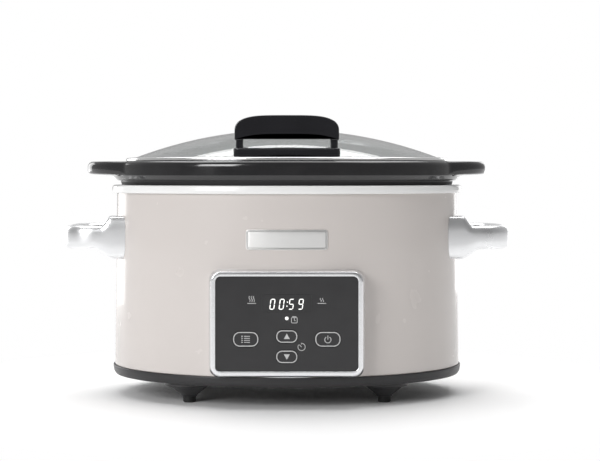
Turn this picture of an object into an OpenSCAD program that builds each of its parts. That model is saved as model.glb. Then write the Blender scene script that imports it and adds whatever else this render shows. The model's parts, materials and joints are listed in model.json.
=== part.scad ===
// Oval countertop slow cooker with a hinged glass lid, a lift-out stoneware
// crock and a digital control panel. Millimetres, +Z up, the panel faces -Y,
// the floor is z = 0 and the middle of the oval plan is x = y = 0.

/* [Housing] */
// Width of the painted housing at its top edge
housing_w = 294; // [260:2:360]
// Depth of the oval plan for each millimetre of its width
plan_ratio = 0.75; // [0.7:0.01:0.82]
// Height of the painted housing
housing_h = 148; // [130:1:190]
// How far the foot of the housing stands out past its top on each side
housing_flare = 1.8; // [0:0.1:4]
// Thickness of the housing sheet
wrap_wall = 1; // [0.8:0.1:1.5]
// How far the panel's front and the hinge's back stand out past the housing's top edge
panel_stand = 5.75; // [5.75:0.25:12]

/* [Base and feet] */
// Height of the base above the floor
foot_h = 17; // [12:1:30]
// Height of the black base ring
base_ring_h = 8; // [6:0.5:14]
// How far the base ring stands proud of the housing
base_ring_proud = 1.4; // [0.5:0.1:4]
// Thickness of the base floor
pan_t = 3; // [2:0.5:5]
// Distance of a leg's middle from the side of the base ring
leg_inset_x = 69.7; // [50:0.1:90]
// Distance of a leg's middle from the front of the base ring
leg_inset_y = 44; // [40:0.5:55]
// Radius of a leg where it meets its flange
leg_r = 16; // [10:0.5:18]
// Radius of a rubber foot
pad_r = 5.3; // [4:0.1:8]
// Height of a rubber foot
pad_h = 5; // [3:0.5:8]

/* [Rim ring] */
// How far the rim ring stands proud of the housing top
rim_ring_proud = 4.4; // [2:0.2:7]
// Height of the rim ring above the housing sheet
rim_ring_h = 6; // [4.5:0.1:10]
// How far the rim ring's skirt hangs below the top of the sheet
rim_ring_skirt = 0.8; // [0.5:0.1:3]

/* [Crock] */
// Thickness of the crock's side wall
crock_wall = 8; // [6:0.5:10]
// Thickness of the crock's floor
crock_floor = 9; // [7:0.5:12]
// How much narrower the crock is at its foot than at its neck, on each side
crock_taper = 20.5; // [14:0.5:26]
// Height of the crock's neck between the rim ring and the rim
neck_h = 3.5; // [2:0.5:6]
// Height of the crock's thick rim
crock_rim_h = 16.2; // [12:0.2:20]
// How far the crock's rim stays inside the edge of the rim ring
crock_rim_inset = 1.4; // [0:0.2:5]
// How far the end lugs stand out past the rim
lug_reach = 22.8; // [12:0.2:30]
// Thickness of the end lugs
lug_t = 10.8; // [8:0.2:12]
// Half the depth of the oval that the end lugs are cut from
lug_oval_b = 75; // [60:1:85]
// Clearance all round between the crock and the heating liner
liner_gap = 1.5; // [1:0.1:3]

/* [Lid] */
// Thickness of the lid's glass
glass_t = 3.6; // [3:0.1:5]
// Rise of the glass dome over its own edge
dome_rise = 26.4; // [18:0.2:45]
// Width of the flat rim of the crock outside the lid's band
rim_margin = 10.6; // [9:0.2:16]
// Width of the lid's handle
lid_handle_w = 85; // [70:1:110]
// Depth of the lid's handle from front to back
lid_handle_d = 18; // [15:1:20]
// Height of the grip bar of the lid's handle
lid_bar_h = 16; // [12:0.5:20]
// Height of the top of the handle over the top of the dome
lid_handle_rise = 9.6; // [6:0.2:20]
// Width of each leg of the lid's handle
lid_leg_w = 7; // [6:0.5:10]
// Distance from the front of the lid to the front of its handle
lid_handle_inset = 11; // [10:0.5:16]

/* [Lid hinge] */
// Width of the hinge
hinge_w = 122; // [100:2:130]
// Radius of the hinge pin
hinge_pin_r = 2; // [1.5:0.1:2.6]
// Radius of the hinge knuckles
knuckle_r = 4.8; // [4.2:0.1:5.2]
// Length of the posts that drop into the crock
post_l = 10; // [7:0.5:12]

/* [Side handles] */
// How far a side handle stands out from the foot of the housing
handle_reach = 41.2; // [34:0.2:60]
// Length of a side handle from front to back
handle_span = 85; // [76:1:100]
// Height of the grip of a side handle
handle_h = 20; // [14:1:28]
// Height of a side handle where it meets the housing
handle_root_h = 36.6; // [28:0.2:44]
// Thickness of the grip of a side handle, seen from above
handle_t = 16; // [12:0.5:18]
// Distance from the top of the housing to the middle of the side handles
handle_drop = 38.5; // [26:0.5:50]

/* [Control panel] */
// Width of the panel's bezel
panel_w = 125; // [116:1:134]
// Height of the panel's bezel
panel_h = 86.6; // [82:0.2:100]
// Width of the bezel's frame
frame_w = 5.5; // [5:0.1:8]
// Distance from the base ring to the bezel
panel_lift = 0.4; // [0.3:0.1:12]
// Thickness of the fascia
fascia_t = 2.5; // [2:0.1:3]
// Width of the two outer buttons
key_w = 20.8; // [16:0.2:23]
// Height of the two outer buttons
key_h = 12.4; // [9:0.2:14]
// Width of the two middle buttons
arrow_w = 17.5; // [13:0.5:20]
// Height of the two middle buttons
arrow_h = 10.6; // [8:0.2:12]
// How far a button goes in
key_travel = 1; // [0.6:0.1:1.2]

/* [Badge] */
// Width of the blank badge
badge_w = 65.8; // [40:0.2:80]
// Height of the blank badge
badge_h = 16.3; // [10:0.1:20]

/* [Hidden] */

// Facets of large and of small round forms
big_fn = 240;
fine_fn = 48;
// Clearances: between pieces that touch, that slide, and round a threaded shank
touch = 0.1;
slide_gap = 0.3;
thread_gap = 0.02;
pin_gap = 0.05;
key_gap = 0.25;
over = 1;

// Levels, from the floor upwards
z_wrap0 = foot_h + base_ring_h;
z_wrap1 = z_wrap0 + housing_h;
z_pan = foot_h + pan_t;
z_ring = z_wrap1 + rim_ring_h;
z_neck = z_ring + slide_gap;
z_rim0 = z_neck + neck_h;
z_rim = z_rim0 + crock_rim_h;

// Half widths of the oval plan
wrap_top_a = housing_w / 2;
wrap_foot_a = wrap_top_a + housing_flare;
base_a = wrap_foot_a + base_ring_proud;
ring_a = wrap_top_a + rim_ring_proud;
rim_a = ring_a - crock_rim_inset;
band_a = rim_a - rim_margin;

// From the middle to the front of the panel and to the back of the hinge
reach_y = plan_ratio * wrap_top_a + panel_stand;

// Crock and liner
liner_t = 0.8;
liner_lip_t = 0.8;
liner_top_a = wrap_top_a - 8;
crock_neck_a = liner_top_a - liner_gap;
crock_foot_a = crock_neck_a - crock_taper;
crock_seat_a = wrap_top_a - 3;
under_space = 30;
z_liner = z_pan + under_space;
z_crock = z_liner + liner_t + slide_gap;
crock_corner = 16;
cavity_corner = 14;
z_cavity = z_crock + crock_floor;
// The rebate in the crock's mouth that the lid sits in
rebate_h = 4.2;
rebate_gap = 1.3;
band_wall = 1;
glass_a = band_a - 2.9;
rebate_a = glass_a + band_wall + rebate_gap;

// Dome: a sphere through the apex and the edge of the glass
z_glass_edge = z_rim + 1.3;
dome_r = (glass_a * glass_a + dome_rise * dome_rise) / (2 * dome_rise);
z_apex = z_glass_edge + dome_rise;
z_dome = z_apex - dome_r;

// Control panel, from the front backwards
bezel_lip = 1.5;
y_fascia = -reach_y + bezel_lip;
y_fascia_back = y_fascia + fascia_t;
flange_t = 1;
y_flange = y_fascia_back + slide_gap;
y_switch = y_flange + flange_t + key_travel + 0.2;
switch_h = 4;
y_pcb = y_switch + switch_h;
pcb_t = 1.6;
key_proud = 0.8;
z_panel = z_wrap0 + panel_lift + panel_h / 2;
window_w = panel_w - 2 * frame_w;
window_h = panel_h - 2 * frame_w;
pcb_w = window_w - 14;
pcb_h = window_h - 12;
y_shield = y_pcb + pcb_t + 4;
key_x = 32.8;
key_z = -12.2;
arrow_up_z = -10;
arrow_down_z = -26.2;
key_corner = 5.5;
arrow_corner = 5;
display_z = 16.5;
display_w = 40;
display_h = 14;

// Lid handle, lid hinge
pad_t = 2.4;
lid_front_y = -plan_ratio * band_a;
lid_handle_y = lid_front_y + lid_handle_inset + lid_handle_d / 2;
z_handle_top = z_apex + lid_handle_rise;
lid_corner = 13;
lid_screw_x = lid_handle_w / 2 - lid_leg_w / 2;
hinge_y = reach_y - knuckle_r - 0.4;
bracket_t = 3;
z_bracket = z_rim + slide_gap;
hinge_z = z_bracket + bracket_t + 0.9 + knuckle_r;
ear_w = 13;
ear_gap = 0.4;
post_x = hinge_w / 2 - 14;
post_r = 2.5;
hinge_screw_x = 30;
hinge_screw_y = plan_ratio * band_a - 17.5;

// Screws
screw_r = 1.5;
screw_head_r = 3;
screw_head_t = 2;
lid_screw_r = 1.75;

function wrap_a(z) = wrap_foot_a - housing_flare * (z - z_wrap0) / housing_h;
function crock_a(z) = crock_neck_a - crock_taper * (z_neck - z) / (z_neck - z_crock);
function oval_y(a, x) = plan_ratio * sqrt(a * a - x * x);
function oval_x(a, y) = sqrt(a * a - pow(y / plan_ratio, 2));
function dome_z(x, y, grow) = z_dome + sqrt(pow(dome_r + grow, 2) - x * x - pow(y / plan_ratio, 2));
function arc(x, z, r, from, to, steps = 6) =
    [for (i = [0:steps]) let (t = from + (to - from) * i / steps) [x + r * cos(t), z + r * sin(t)]];

// An oval form, made of four quarter turns, whose profile is given at the side of the cooker
module oval(ratio = plan_ratio) {
    for (turn = [45, 135, 225, 315]) scale([1, ratio, 1]) rotate([0, 0, turn])
        rotate_extrude(angle = 90, $fn = big_fn) children();
}

module round_rect(w, h, r) {
    square([w - 2 * r, h], center = true);
    square([w, h - 2 * r], center = true);
    for (sx = [-1, 1], sy = [-1, 1])
        translate([sx * (w / 2 - r), sy * (h / 2 - r)]) circle(r, $fn = fine_fn);
}

// Stands a drawing upright, from y_front back to y_back
module upright(y_front, y_back) {
    translate([0, y_back, 0]) rotate([90, 0, 0]) linear_extrude(y_back - y_front) children();
}

module rod_y(x, z, y_front, y_back, r) {
    translate([x, y_back, z]) rotate([90, 0, 0]) cylinder(r = r, h = y_back - y_front, $fn = fine_fn);
}

module rod_z(x, y, z0, z1, r) {
    translate([x, y, z0]) cylinder(r = r, h = z1 - z0, $fn = fine_fn);
}

module rod_x(x0, x1, y, z, r) {
    translate([x0, y, z]) rotate([0, 90, 0]) cylinder(r = r, h = x1 - x0, $fn = fine_fn);
}

// The space inside the housing's outer face, made larger by grow
module wrap_form(grow) {
    oval() polygon([
        [0, z_wrap0 - over], [wrap_a(z_wrap0 - over) + grow, z_wrap0 - over],
        [wrap_a(z_wrap1 + over) + grow, z_wrap1 + over], [0, z_wrap1 + over]
    ]);
}

// The solid under the lid's outer glass face, made larger by grow
module dome_form(grow) {
    scale([1, plan_ratio, 1]) translate([0, 0, z_dome]) sphere(r = dome_r + grow, $fn = big_fn);
}

// ---------------------------------------------------------------- base

module leg_places() {
    for (sx = [-1, 1], sy = [-1, 1])
        translate([sx * (base_a - leg_inset_x), sy * (plan_ratio * base_a - leg_inset_y), 0]) children();
}

post_places = [for (sx = [-1, 1], sy = [-1, 1]) [sx * (crock_foot_a - 46), sy * 34]];
board_x = -20;
board_w = 74;
board_d = 48;
board_z = z_pan + 5;
board_holes = [for (sx = [-1, 1], sy = [-1, 1]) [board_x + sx * (board_w / 2 - 5), sy * (board_d / 2 - 5)]];
gland_z = z_pan + 16;
gland_r = 6;

module base_pan() color([0.16, 0.155, 0.165]) {
    difference() {
        union() {
            oval() polygon(concat(
                [[0, foot_h], [base_a - 5, foot_h]],
                arc(base_a - 3, foot_h + 3.5, 3, -50, 0),
                arc(base_a - 1, z_wrap0 - 1, 1, 0, 90),
                [[wrap_foot_a - wrap_wall - touch, z_wrap0]],
                [[wrap_foot_a - wrap_wall - touch - 0.2, z_wrap0 + 4]],
                [[wrap_foot_a - wrap_wall - 3, z_wrap0 + 4]],
                [[wrap_foot_a - wrap_wall - 3, z_pan], [0, z_pan]]
            ));
            for (p = board_holes) rod_z(p[0], p[1], z_pan - 0.5, board_z, 3.5);
        }
        leg_places() rod_z(0, 0, foot_h - over, z_pan + over, screw_r + thread_gap);
        for (p = post_places) rod_z(p[0], p[1], foot_h - over, z_pan + over, screw_r + 0.2);
        for (p = board_holes) rod_z(p[0], p[1], z_pan - 1.5, board_z + over, screw_r + thread_gap);
        // Vents under the electronics
        for (i = [-3:3]) translate([i * 9, -(plan_ratio * base_a - 34), foot_h - over])
            linear_extrude(pan_t + 2 * over) round_rect(4, 18, 1.9);
    }
}

module leg() color([0.13, 0.13, 0.14]) difference() {
    rotate_extrude($fn = fine_fn) polygon([
        [0, pad_h + touch], [pad_r + 0.8, pad_h + touch], [pad_r + 1.6, pad_h + 1.6],
        [leg_r, foot_h - 3.4], [leg_r + 4, foot_h - 2.4], [leg_r + 4, foot_h - touch], [0, foot_h - touch]
    ]);
    translate([0, 0, pad_h - over]) cylinder(r = screw_r + 0.2, h = foot_h, $fn = fine_fn);
    translate([0, 0, pad_h - over]) cylinder(r = screw_head_r + 0.2, h = 3.4 + over, $fn = fine_fn);
}

module leg_at(sx, sy) {
    translate([sx * (base_a - leg_inset_x), sy * (plan_ratio * base_a - leg_inset_y), 0]) leg();
}

module leg_front_left() leg_at(-1, -1);
module leg_front_right() leg_at(1, -1);
module leg_rear_left() leg_at(-1, 1);
module leg_rear_right() leg_at(1, 1);

module foot_pads() color([0.1, 0.1, 0.1]) leg_places() rotate_extrude($fn = fine_fn)
    polygon([[0, 0], [pad_r - 0.8, 0], [pad_r, 0.8], [pad_r, pad_h], [0, pad_h]]);

module leg_screws() color([0.6, 0.6, 0.62]) leg_places() {
    translate([0, 0, pad_h + 1]) cylinder(r = screw_head_r, h = screw_head_t, $fn = fine_fn);
    translate([0, 0, pad_h + 1]) cylinder(r = screw_r, h = z_pan + 1 - pad_h - 1, $fn = fine_fn);
}

module rating_plate() color([0.75, 0.75, 0.76])
    translate([0, 40, foot_h - 0.5]) linear_extrude(0.4) round_rect(60, 30, 3);

// ---------------------------------------------------------------- housing

handle_z = z_wrap1 - handle_drop;
handle_screw_y = handle_span / 2 - 7;
bezel_screws = [
    for (sx = [-1, 1], sz = [-1, 1]) [sx * (panel_w - frame_w) / 2, z_panel + sz * (panel_h / 2 - 16)]
];

module housing_wrap() color([0.8, 0.78, 0.765]) difference() {
    oval() polygon([
        [wrap_foot_a - wrap_wall, z_wrap0], [wrap_foot_a, z_wrap0],
        [wrap_top_a, z_wrap1], [wrap_top_a - wrap_wall, z_wrap1]
    ]);
    // Opening behind the control panel
    translate([0, 0, z_panel]) upright(-reach_y - over, -plan_ratio * wrap_top_a / 2)
        round_rect(pcb_w + 6, pcb_h + 6, 4);
    for (p = bezel_screws) rod_y(p[0], p[1], -reach_y - over, -plan_ratio * wrap_top_a / 2, screw_r + 0.2);
    for (sx = [-1, 1], sy = [-1, 1])
        rod_x(sx > 0 ? wrap_top_a / 2 : -wrap_foot_a - over, sx > 0 ? wrap_foot_a + over : -wrap_top_a / 2,
            sy * handle_screw_y, handle_z, screw_r + 0.2);
    rod_y(0, gland_z, plan_ratio * wrap_top_a / 2, reach_y, gland_r + touch);
}

module rim_ring() color([0.9, 0.9, 0.895]) oval() polygon(concat(
    [[liner_top_a - 0.5, z_wrap1 + liner_lip_t + touch]],
    [[wrap_top_a + touch, z_wrap1 + liner_lip_t + touch]],
    [[wrap_top_a + touch + 0.02, z_wrap1 - rim_ring_skirt]],
    arc(ring_a - 1.5, z_wrap1 - rim_ring_skirt + 1.5, 1.5, -90, 0),
    arc(ring_a - 2.8, z_ring - 2.8, 2.8, 0, 90),
    [[liner_top_a - 0.5, z_ring]]
));

module badge() color([0.72, 0.71, 0.7]) intersection() {
    difference() {
        wrap_form(1);
        wrap_form(0.05);
    }
    translate([0, 0, z_wrap1 - 37.4]) upright(-reach_y - over, 0) round_rect(badge_w, badge_h, 2.5);
}

// Side handle, drawn for +X: a loop seen from above, flared at its roots
handle_tip = wrap_foot_a + handle_reach;
module handle_loop() difference() {
    translate([handle_tip / 2, 0]) round_rect(handle_tip, handle_span, 22);
    translate([(handle_tip - handle_t) / 2, 0]) round_rect(handle_tip - handle_t, handle_span - 26, 12);
}

module handle_side() {
    flare = [for (i = [0:8]) let (t = i / 8) [
        handle_tip - 54 + 22 * t,
        handle_h / 2 + (handle_root_h - handle_h) / 2 * pow(1 - t, 2)
    ]];
    edge = concat(flare, arc(handle_tip - 4, handle_h / 2 - 4, 4, 90, 0, 4));
    polygon(concat(
        [[60, handle_root_h / 2]], edge,
        [for (i = [len(edge) - 1:-1:0]) [edge[i][0], -edge[i][1]]],
        [[60, -handle_root_h / 2]]
    ));
}

module side_handle() color([0.85, 0.85, 0.86]) difference() {
    intersection() {
        translate([0, 0, handle_z - handle_root_h]) linear_extrude(2 * handle_root_h) handle_loop();
        translate([0, 0, handle_z]) upright(-handle_span, handle_span) handle_side();
    }
    wrap_form(touch);
    for (sy = [-1, 1])
        rod_x(60, wrap_foot_a + 12, sy * handle_screw_y, handle_z, screw_r + thread_gap);
}

module right_handle() side_handle();
module left_handle() mirror([1, 0, 0]) side_handle();

module handle_screws() color([0.6, 0.6, 0.62]) for (sx = [0, 1]) mirror([sx, 0, 0]) for (sy = [-1, 1]) {
    inner = oval_x(wrap_a(handle_z) - wrap_wall, handle_screw_y + screw_head_r) - 0.3;
    rod_x(inner - screw_head_t, inner, sy * handle_screw_y, handle_z, screw_head_r);
    rod_x(inner - over, wrap_foot_a + 10, sy * handle_screw_y, handle_z, screw_r);
}

// ---------------------------------------------------------------- heating

module liner_shell(grow_in, grow_out, z0, z1) {
    oval() polygon([
        [crock_a(z0) + grow_in, z0], [crock_a(z0) + grow_out, z0],
        [crock_a(z1) + grow_out, z1], [crock_a(z1) + grow_in, z1]
    ]);
}

liner_in = liner_gap;
liner_out = liner_gap + liner_t;
band_in = liner_out + 0.2;
band_out = band_in + 2.4;
z_band0 = z_liner + 10;
z_band1 = z_band0 + 36;

module heating_liner() color([0.62, 0.63, 0.65]) difference() {
    oval() polygon(concat(
        [[0, z_liner]],
        arc(crock_a(z_crock) + liner_out - crock_corner, z_liner + crock_corner, crock_corner, -90, 0),
        [[crock_a(z_wrap1) + liner_out, z_wrap1], [wrap_top_a - touch, z_wrap1 + touch]],
        [[wrap_top_a - touch, z_wrap1 + liner_lip_t], [crock_a(z_wrap1) + liner_in, z_wrap1 + liner_lip_t]],
        arc(
            crock_a(z_crock) + liner_in - crock_corner, z_liner + liner_t + crock_corner,
            crock_corner, 0, -90
        ),
        [[0, z_liner + liner_t]]
    ));
    for (p = post_places) rod_z(p[0], p[1], z_liner - over, z_liner + liner_t + over, screw_r + 0.2);
}

module liner_posts() color([0.7, 0.7, 0.72]) for (p = post_places) difference() {
    rod_z(p[0], p[1], z_pan + touch, z_liner - touch, 5);
    rod_z(p[0], p[1], z_pan - over, z_liner + over, screw_r + thread_gap);
}

module liner_screws() color([0.6, 0.6, 0.62]) for (p = post_places) {
    rod_z(p[0], p[1], foot_h - screw_head_t - 0.1, foot_h - 0.1, screw_head_r);
    rod_z(p[0], p[1], foot_h - screw_head_t, z_pan + 16, screw_r);
}

band_slit = 16;
module heating_band() color([0.55, 0.5, 0.42]) difference() {
    liner_shell(band_in, band_out, z_band0, z_band1);
    translate([-band_slit / 2, 0, z_band0 - over]) cube([band_slit, reach_y, z_band1 - z_band0 + 2 * over]);
}

// Each spring is a row of round turns between the two ends of the heating band
spring_r = 2.2;
spring_wire_r = 0.5;
spring_y = plan_ratio * (crock_a((z_band0 + z_band1) / 2) + band_out) + 1.2;
module band_springs() color([0.7, 0.7, 0.72]) for (z = [z_band0 + 7, z_band0 + 18, z_band0 + 29]) {
    for (i = [-6:6]) translate([i * (2 * spring_wire_r + 0.1), spring_y + spring_r, z]) rotate([0, 90, 0])
        rotate_extrude($fn = fine_fn) translate([spring_r - spring_wire_r, 0])
            circle(spring_wire_r, $fn = 16);
}

module insulation_blanket() color([0.86, 0.84, 0.76]) difference() {
    liner_shell(band_out + 0.5, band_out + 3.5, z_band0 - 4, z_wrap1 - 26);
    // Left open behind the control panel, and where the springs pull at the back
    translate([-window_w / 2 - 4, -reach_y, z_band0 - 4 - over])
        cube([window_w + 8, reach_y, z_panel + panel_h / 2 - z_band0 + 10]);
    translate([-18, 0, z_band0 - 4 - over]) cube([36, reach_y, 60]);
}

module heat_shield() color([0.75, 0.76, 0.78]) translate([0, 0, z_panel]) upright(y_shield, y_shield + 0.8)
    round_rect(pcb_w - 2, pcb_h + 4, 3);

module thermistor() color([0.8, 0.8, 0.8]) {
    rod_z(0, 0, z_liner - 7, z_liner - touch, 5);
    translate([-16, -4, z_liner - 7]) cube([32, 8, 1.2]);
}

module thermal_fuse() color([0.85, 0.82, 0.7]) {
    rod_x(28, 42, -18, z_liner - 3, 2.4);
    rod_x(20, 50, -18, z_liner - 3, 0.6);
}

// ---------------------------------------------------------------- control panel

module panel_bezel() color([0.8, 0.8, 0.82]) difference() {
    intersection() {
        translate([0, 0, z_panel]) upright(-reach_y, -60) round_rect(panel_w, panel_h, 9);
        // Sides and ends slope outwards towards the housing
        translate([0, 0, z_panel - panel_h]) linear_extrude(2 * panel_h) polygon([
            [-panel_w / 2 + 2, -reach_y], [panel_w / 2 - 2, -reach_y], [panel_w / 2, -reach_y + 5],
            [panel_w / 2, -60], [-panel_w / 2, -60], [-panel_w / 2, -reach_y + 5]
        ]);
        rotate([90, 0, 90]) translate([0, 0, -panel_w]) linear_extrude(2 * panel_w) polygon([
            [-reach_y, z_panel - panel_h / 2 + 2], [-reach_y, z_panel + panel_h / 2 - 2],
            [-reach_y + 4, z_panel + panel_h / 2], [-60, z_panel + panel_h / 2],
            [-60, z_panel - panel_h / 2], [-reach_y + 4, z_panel - panel_h / 2]
        ]);
    }
    translate([0, 0, z_panel]) upright(-reach_y - over, 0) round_rect(window_w, window_h, 4);
    wrap_form(touch);
    for (p = bezel_screws) rod_y(p[0], p[1], -reach_y + 5, 0, screw_r + thread_gap);
}

module panel_screws() color([0.6, 0.6, 0.62]) for (p = bezel_screws) {
    y_seat = -oval_y(wrap_a(p[1]) - wrap_wall, abs(p[0]) + screw_head_r) + 0.3;
    rod_y(p[0], p[1], y_seat, y_seat + screw_head_t, screw_head_r);
    rod_y(p[0], p[1], -reach_y + 5.5, y_seat + over, screw_r);
}

pcb_holes = [for (sx = [-1, 1], sz = [-1, 1]) [sx * (pcb_w / 2 - 4), z_panel + sz * (pcb_h / 2 - 4)]];

module panel_fascia() color([0.12, 0.12, 0.125]) difference() {
    union() {
        translate([0, 0, z_panel]) upright(y_fascia, y_fascia_back)
            round_rect(window_w - 2 * touch, window_h - 2 * touch, 4 - touch);
        for (p = pcb_holes) rod_y(p[0], p[1], y_fascia_back - 0.5, y_pcb - touch, 3);
    }
    for (sx = [-1, 1]) translate([sx * key_x, 0, z_panel + key_z]) key_hole(key_w, key_h, key_corner);
    for (z = [arrow_up_z, arrow_down_z])
        translate([0, 0, z_panel + z]) key_hole(arrow_w, arrow_h, arrow_corner);
    translate([0, 0, z_panel + display_z]) upright(y_fascia - over, y_fascia_back + over)
        round_rect(display_w, display_h, 2);
    rod_y(0, z_panel + 4.4, y_fascia - over, y_fascia_back + over, 1.4 + touch);
    for (p = pcb_holes) rod_y(p[0], p[1], y_fascia_back + over, y_pcb + over, screw_r + thread_gap - 0.3);
}

module key_hole(w, h, r) {
    upright(y_fascia - over, y_fascia_back + over)
        round_rect(w + 2 * key_gap, h + 2 * key_gap, r + key_gap);
}

module display_window() color([0.2, 0.2, 0.22]) translate([0, 0, z_panel + display_z])
    upright(y_fascia, y_fascia_back - 0.5)
        round_rect(display_w - 2 * touch, display_h - 2 * touch, 2 - touch);

module display_module() color([0.3, 0.3, 0.32]) translate([0, 0, z_panel + display_z])
    upright(y_fascia_back, y_pcb - touch) round_rect(display_w - 4, display_h - 1, 0.5);

module indicator_led() color([0.95, 0.95, 0.9]) {
    rod_y(0, z_panel + 4.4, y_fascia, y_pcb - touch, 1.4);
    rod_y(0, z_panel + 4.4, y_pcb - 1.5, y_pcb - touch, 2);
}

module control_pcb() color([0.1, 0.35, 0.2]) difference() {
    translate([0, 0, z_panel]) upright(y_pcb, y_pcb + pcb_t) round_rect(pcb_w, pcb_h, 2);
    for (p = pcb_holes) rod_y(p[0], p[1], y_pcb - over, y_pcb + pcb_t + over, screw_r + 0.1);
}

module control_pcb_screws() color([0.6, 0.6, 0.62]) for (p = pcb_holes) {
    rod_y(p[0], p[1], y_pcb + pcb_t + touch, y_pcb + pcb_t + touch + 1.4, 2.4);
    rod_y(p[0], p[1], y_pcb - 4, y_pcb + pcb_t + touch + 0.5, screw_r - 0.3);
}

key_places = [
    [-key_x, key_z], [key_x, key_z], [0, arrow_up_z], [0, arrow_down_z]
];

module tact_switches() color([0.2, 0.2, 0.2]) for (p = key_places) {
    translate([p[0], 0, z_panel + p[1]]) upright(y_pcb - switch_h + 1, y_pcb - touch)
        square([6, 6], center = true);
    rod_y(p[0], z_panel + p[1], y_switch, y_pcb - switch_h + 1.5, 1.7);
}

// A button: its cap in the fascia, a flange behind it and a stem over the switch
module key(x, z, w, h, r) color([0.13, 0.13, 0.135]) translate([x, 0, z_panel + z]) {
    upright(y_fascia - key_proud, y_flange + 0.5) round_rect(w, h, r);
    upright(y_flange, y_flange + flange_t) round_rect(w + 2, h + 2, r + 1);
}

module button_menu() key(-key_x, key_z, key_w, key_h, key_corner);
module button_power() key(key_x, key_z, key_w, key_h, key_corner);
module button_up() key(0, arrow_up_z, arrow_w, arrow_h, arrow_corner);
module button_down() key(0, arrow_down_z, arrow_w, arrow_h, arrow_corner);

// ---------------------------------------------------------------- power board

module power_pcb() color([0.1, 0.35, 0.2]) difference() {
    translate([board_x - board_w / 2, -board_d / 2, board_z + touch]) cube([board_w, board_d, pcb_t]);
    for (p = board_holes) rod_z(p[0], p[1], board_z - over, board_z + 3, screw_r + 0.1);
}

board_top = board_z + touch + pcb_t;
module power_pcb_screws() color([0.6, 0.6, 0.62]) for (p = board_holes) {
    rod_z(p[0], p[1], board_top + touch, board_top + touch + 1.6, 2.8);
    rod_z(p[0], p[1], z_pan - 1, board_top + touch + 1, screw_r);
}

module on_board(x, y, w, d, h) {
    translate([board_x + x - w / 2, y - d / 2, board_top + touch]) cube([w, d, h]);
}

module relay() color([0.15, 0.25, 0.45]) on_board(20, 6, 19, 15, 15);
module transformer() color([0.85, 0.75, 0.3]) on_board(-20, 0, 18, 16, 14);
module filter_capacitor() color([0.75, 0.6, 0.2]) on_board(2, -10, 13, 6, 11);
module terminal_block() color([0.2, 0.45, 0.3]) difference() {
    on_board(2, 12, 15, 8, 10);
    for (dx = [-5, 0, 5]) rod_z(board_x + 2 + dx, 12, board_top + 6, board_top + 12, 1.6);
}

// Two leads from the terminal block up to the ends of the heating band, bent at every corner
lead_r = 1.1;
lead_bend_r = 3;
lead_z = z_liner - 5;
lead_y = round(10 * plan_ratio * (crock_a(z_band0) + band_out)) / 10 + lead_r + 1.5;

function toward(a, b) = (b - a) / norm(b - a);

module lead_run(a, b) {
    run = b - a;
    translate(a) rotate([0, acos(run[2] / norm(run)), atan2(run[1], run[0])])
        cylinder(r = lead_r, h = norm(run), $fn = fine_fn);
}

// A quarter turn that joins the run arriving from before with the run leaving to after
module lead_bend(before, corner, after) {
    x = toward(after, corner);
    y = toward(before, corner);
    z = cross(x, y);
    centre = corner - lead_bend_r * (x + y);
    multmatrix([
        [x[0], y[0], z[0], centre[0]], [x[1], y[1], z[1], centre[1]], [x[2], y[2], z[2], centre[2]]
    ]) rotate_extrude(angle = 90, $fn = fine_fn) translate([lead_bend_r, 0]) circle(r = lead_r);
}

module lead(points) {
    last = len(points) - 1;
    for (i = [1:last]) {
        ahead = toward(points[i - 1], points[i]);
        lead_run(
            points[i - 1] + (i == 1 ? 0 : lead_bend_r) * ahead,
            points[i] - (i == last ? 0 : lead_bend_r) * ahead
        );
    }
    for (i = [1:last - 1]) lead_bend(points[i - 1], points[i], points[i + 1]);
}

module heater_leads() color([0.75, 0.2, 0.15]) for (side = [-1, 1]) {
    x_block = board_x + 2 + 5 * side;
    x_band = 11 * side;
    y_bend = 30 - 8 * side;
    lead([
        [x_block, 12, board_top + 10], [x_block, 12, lead_z], [x_block, y_bend, lead_z],
        [x_band, y_bend, lead_z], [x_band, lead_y, lead_z], [x_band, lead_y, z_band0 + 4]
    ]);
}

module cord_gland() color([0.12, 0.12, 0.13]) difference() {
    union() {
        rod_y(0, gland_z, plan_ratio * wrap_a(gland_z) + 0.3, reach_y - 0.5, gland_r + 2.5);
        rod_y(0, gland_z, plan_ratio * wrap_foot_a - 12, reach_y - 1, gland_r);
    }
    rod_y(0, gland_z, 0, reach_y + over, 3.6);
}

// ---------------------------------------------------------------- crock

module crock() color([0.11, 0.11, 0.12]) difference() {
    union() {
        oval() polygon(concat(
            [[0, z_crock]],
            arc(crock_foot_a - crock_corner, z_crock + crock_corner, crock_corner, -90, 0),
            [[crock_neck_a, z_neck], [crock_seat_a, z_neck], [crock_seat_a, z_rim0]],
            arc(rim_a - 4, z_rim0 + 4, 4, -90, 0),
            arc(rim_a - 5, z_rim - 5, 5, 0, 90),
            [[0, z_rim]]
        ));
        oval(lug_oval_b / (rim_a + lug_reach)) polygon(concat(
            [[0, z_rim - 0.8 - lug_t]],
            arc(rim_a + lug_reach - 5, z_rim - 0.8 - lug_t + 5, 5, -90, 0),
            arc(rim_a + lug_reach - 5, z_rim - 0.8 - 5, 5, 0, 90),
            [[0, z_rim - 0.8]]
        ));
        // Ledge at the back that the lid's hinge drops into
        translate([0, 0, z_rim0]) linear_extrude(crock_rim_h) translate([0, reach_y / 2])
            round_rect(hinge_w + 4, reach_y, 6);
    }
    oval() polygon(concat(
        [[0, z_cavity]],
        arc(crock_foot_a - crock_wall - cavity_corner, z_cavity + cavity_corner, cavity_corner, -90, 0),
        [[crock_neck_a - crock_wall, z_rim - rebate_h], [rebate_a, z_rim - rebate_h]],
        [[rebate_a, z_rim + over], [0, z_rim + over]]
    ));
    for (sx = [-1, 1]) rod_z(sx * post_x, hinge_y, z_rim - post_l - 1, z_rim + over, post_r + slide_gap);
}

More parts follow.
